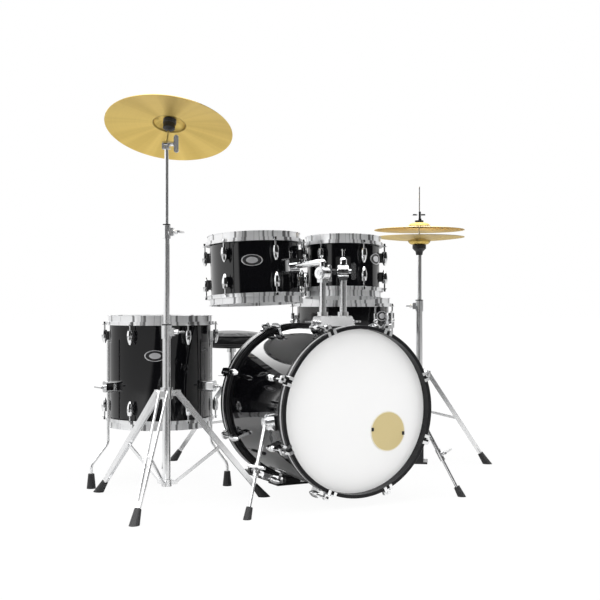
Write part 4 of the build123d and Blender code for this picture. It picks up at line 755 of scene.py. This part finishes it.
# %% Clips
CLIP_SIZE = (0.0085, 0.003, 0.0115)
CLIP_INSET = 0.002
CLIP_RISE = 0.0012
CLIP_OUT = 0.92
CLIP_DOWN = 0.14
bpy.ops.object.select_all(action="DESELECT")
bpy.ops.mesh.primitive_cube_add(size=1.0)
clip = begin("port_clip_left")
clip.scale = CLIP_SIZE
close(clip)
pick(clip, lambda middle, normal: normal.y < -0.9)
bpy.ops.mesh.inset(thickness=CLIP_INSET)
bpy.ops.transform.translate(value=(0, -CLIP_RISE, 0))
shape(clip, "BEVEL", width=0.0004, segments=2)
twin_clip = twin(clip, "port_clip_right")
for piece, way in ((clip, -1), (twin_clip, 1)):
    side = way * port_radius
    place = Vector((port_centre.x + side * CLIP_OUT, port_low.y, port_centre.z - side * CLIP_DOWN))
    piece.data.transform(Matrix.Translation(place))
    close(piece)
    settle(piece, "kit_base", "black_metal", powder)
print("two clips")

# %% [markdown]
# ## Bushings and tooth plates
#
# Each tube clamp holds its tube in a nylon bushing, so that steel doesn't scratch steel. Only its collar
# shows, as a black ring on top of the clamp, and only the collar is modelled. The table gives, for each
# clamp, the joint whose tube it holds, its body, the height of its top, and the bore and outside of the
# collar.

# %% Bushings
CLAMPS = {
    "crash_low": ("crash_lower_height", "kit_base", 0.561, 0.0095, 0.0152),
    "crash_high": ("crash_upper_height", "crash_middle", 0.876, 0.0066, 0.0120),
    "hihat": ("hihat_height", "kit_base", 0.641, 0.0095, 0.0152),
    "snare": ("snare_height", "kit_base", 0.351, 0.0095, 0.0152),
    "throne": ("throne_height", "kit_base", 0.366, 0.0110, 0.0175),
}
BUSHING = 0.004
BUSHING_GAP = 0.0003
BUSHING_EDGE = 0.0008
for name, (slide, body, top, bore, outer) in CLAMPS.items():
    place = Vector(joints[slide]["pos_m"])
    bushing = ring(name + "_bushing", outer, bore + BUSHING_GAP, BUSHING, 48, BUSHING_EDGE)
    bushing.data.transform(Matrix.Translation((place.x, place.y, top + BUSHING / 2)))
    close(bushing)
    settle(bushing, body, "black_rubber", rubber)
print(len(CLAMPS), "bushings")

# %% [markdown]
# The tom holders lock their tilt with toothed plates. A tooth could be modelled and turned round the plate
# by an Array, which leaves seams to close. Here every second side face of one ring is pulled out into a
# tooth, so the plate stays one closed skin. It is modelled once and copied to both cheeks of both holders.

# %% Tooth plates
TEETH = 48
TOOTH = 0.0016
PLATE = 0.003
PLATE_OUTER = 0.0185
PLATE_INNER = 0.0100
CHEEK = 0.0143
tooth_plate = ring("tooth_plate", PLATE_OUTER, PLATE_INNER, PLATE, TEETH, 0.0)
pick(tooth_plate, lambda middle, normal: abs(normal.z) < 0.1 and middle.xy.length > PLATE_OUTER - 0.0015
     and int(math.atan2(middle.y, middle.x) / math.tau * TEETH + TEETH) % 2 == 0)
bpy.ops.mesh.extrude_faces_move(TRANSFORM_OT_shrink_fatten={"value": TOOTH})
close(tooth_plate, 20.0)
for drum in ("large_tom", "small_tom"):
    pivot = Vector(joints[drum + "_tilt"]["pos_m"])
    across = Vector(joints[drum + "_tilt"]["axis"])
    for side, way in (("near", -1), ("far", 1)):
        copy = twin(tooth_plate, f"{drum}_teeth_{side}")
        copy.data.transform(stand_on(across * way, pivot + across * way * (CHEEK + PLATE / 2)))
        settle(copy, drum + "_holder", "chrome", chrome_plate)
bpy.data.objects.remove(tooth_plate)
print("four tooth plates")

# %% [markdown]
# ## Pedal links
#
# The bass pedal pulls its cam by a strap, which runs from the board up to the cam and has a few cuts
# across it. The hi-hat's board pulls its rod by a short link, which rides on the rod. Both are a cube drawn
# out, cut across and bevelled.


# %% Strap and link
def strip(name, size, middle, tilt, cuts, edge):
    """A flat strip: a cube drawn out, cut across and bevelled."""
    bpy.ops.object.select_all(action="DESELECT")
    bpy.ops.mesh.primitive_cube_add(size=1.0, location=middle, rotation=(tilt, 0, 0))
    piece = begin(name)
    piece.scale = size
    close(piece)
    pick(piece, lambda place, normal: True)
    bpy.ops.mesh.subdivide(number_cuts=cuts)
    shape(piece, "BEVEL", width=edge, segments=2, limit_method="ANGLE", angle_limit=STEEP)
    return close(piece)


CAM_RADIUS = 0.026
STRAP_GAP = 0.0012
STRAP_WIDTH = 0.016
STRAP_THICK = 0.0018
LINK = 0.026
LINK_THICK = 0.005
LINK_LAP = 0.003
axle = Vector(joints["beater_swing"]["pos_m"])
board_low, board_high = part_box("pedal_footboard")
strap_top = Vector((axle.x, axle.y - CAM_RADIUS - STRAP_GAP, axle.z))
strap_foot = Vector((axle.x, board_low.y + 0.004, board_high.z - 0.001))
strap_way = strap_foot - strap_top
strap = strip("pedal_strap", (STRAP_WIDTH, STRAP_THICK, strap_way.length), (strap_top + strap_foot) / 2,
              math.atan2(strap_way.y, -strap_way.z), 5, 0.0005)
strap.data.materials.append(rubber)
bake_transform(strap)
rod_low, rod_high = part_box("hihat_pull_rod")
rod_middle = (rod_low + rod_high) / 2
link_place = (rod_middle.x, rod_middle.y, rod_low.z - LINK / 2 + LINK_LAP)
link = strip("hihat_link", (STRAP_WIDTH, LINK_THICK, LINK), link_place, 0.0, 2, 0.0012)
settle(link, "hihat_pull", "chrome", chrome_plate)
print("strap", round(strap_way.length, 3), "link", LINK)

# %% [markdown]
# ## The padded seat
#
# The drummer's stool has a foam seat under black vinyl. A bevelled cylinder would look like a puck. So the
# CAD solid is copied, remeshed into an even skin, shrunk a little and blown up as cloth with its underside
# held, which swells the top and leaves the soft unevenness of a stuffed cover.

# %% Seat skin
VOXEL = 0.005
SHRINK = (0.985, 0.985, 0.97, 1.0)
seat_low, seat_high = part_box("throne_seat")
seat_middle = (seat_low + seat_high) / 2
seat = twin(nodes["throne_seat"], "padded_seat")
seat.parent = None
seat.matrix_world = Matrix.Identity(4)
close(seat)
shape(seat, "REMESH", mode="VOXEL", voxel_size=VOXEL)
seat.data.transform(Matrix.Translation(seat_middle) @ Matrix.Diagonal(SHRINK)
                    @ Matrix.Translation(-seat_middle))
start = [vertex.co.copy() for vertex in seat.data.vertices]
print("seat skin of", len(start), "points")

# %% [markdown] Cloth with pressure inside swells until its weave holds it back. Pinning the underside keeps
# the seat on its plate, gravity is off because foam carries the cover, and no point may move farther than a
# stuffed seat bulges.

# %% Seat padding
PRESSURE = 4.0
LAST_FRAME = 20
SWELL = 0.005
HELD = 0.012
pins = seat.vertex_groups.new(name="held")
pins.add([i for i, co in enumerate(start) if co.z < seat_low.z + HELD], 1.0, "REPLACE")
cloth = seat.modifiers.new("cloth", "CLOTH")
cloth.settings.use_pressure = True
cloth.settings.uniform_pressure_force = PRESSURE
cloth.settings.effector_weights.gravity = 0.0
cloth.settings.vertex_group_mass = "held"
cloth.point_cache.frame_start = 1
cloth.point_cache.frame_end = LAST_FRAME
for step in range(1, LAST_FRAME + 1):
    bpy.context.scene.frame_set(step)
bpy.ops.object.modifier_apply(modifier=cloth.name)
bpy.context.scene.frame_set(1)
for vertex, rest in zip(seat.data.vertices, start):
    move = vertex.co - rest
    if move.length > SWELL:
        vertex.co = rest + move * (SWELL / move.length)
seat.vertex_groups.clear()
shape(seat, "SUBSURF", levels=1, render_levels=1)
close(seat, 60.0)
settle(seat, "throne_top", "black_vinyl", vinyl)
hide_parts("throne_seat")
print("seat", len(seat.data.polygons), "faces")

# %% [markdown]
# Two welts cover the seams of the cover, one round the top edge and one round the foot. A torus has the
# right shape, but the seat's side has to be measured first: the welt's section is a circle set at that
# distance, and spun round the seat's axis.

# %% Welts
WELT = 0.0032
WELT_SINK = 0.0008
WELT_BAND = 0.004
WELTS = {"welt_top": seat_high.z - 0.017, "welt_foot": seat_low.z + 0.010}


def seat_reach(height):
    """How far the seat's side stands from its axis at a height."""
    return max((vertex.co - seat_middle).xy.length for vertex in seat.data.vertices
               if abs(vertex.co.z - height) < WELT_BAND)


for name, height in WELTS.items():
    side = seat_middle.x + seat_reach(height) - WELT_SINK
    bpy.ops.object.select_all(action="DESELECT")
    bpy.ops.mesh.primitive_circle_add(vertices=12, radius=WELT, rotation=(math.pi / 2, 0, 0),
                                      location=(side, seat_middle.y, height))
    welt = begin(name)
    bpy.ops.object.mode_set(mode="EDIT")
    bpy.ops.mesh.select_all(action="SELECT")
    bpy.ops.mesh.spin(steps=120, angle=math.tau, center=(seat_middle.x, seat_middle.y, height),
                      axis=(0, 0, 1))
    close(welt, 60.0)
    settle(welt, "throne_top", "black_vinyl", vinyl)
print(len(WELTS), "welts")

# %% [markdown] ## Sizes  The looks should fill the same box as the solids.
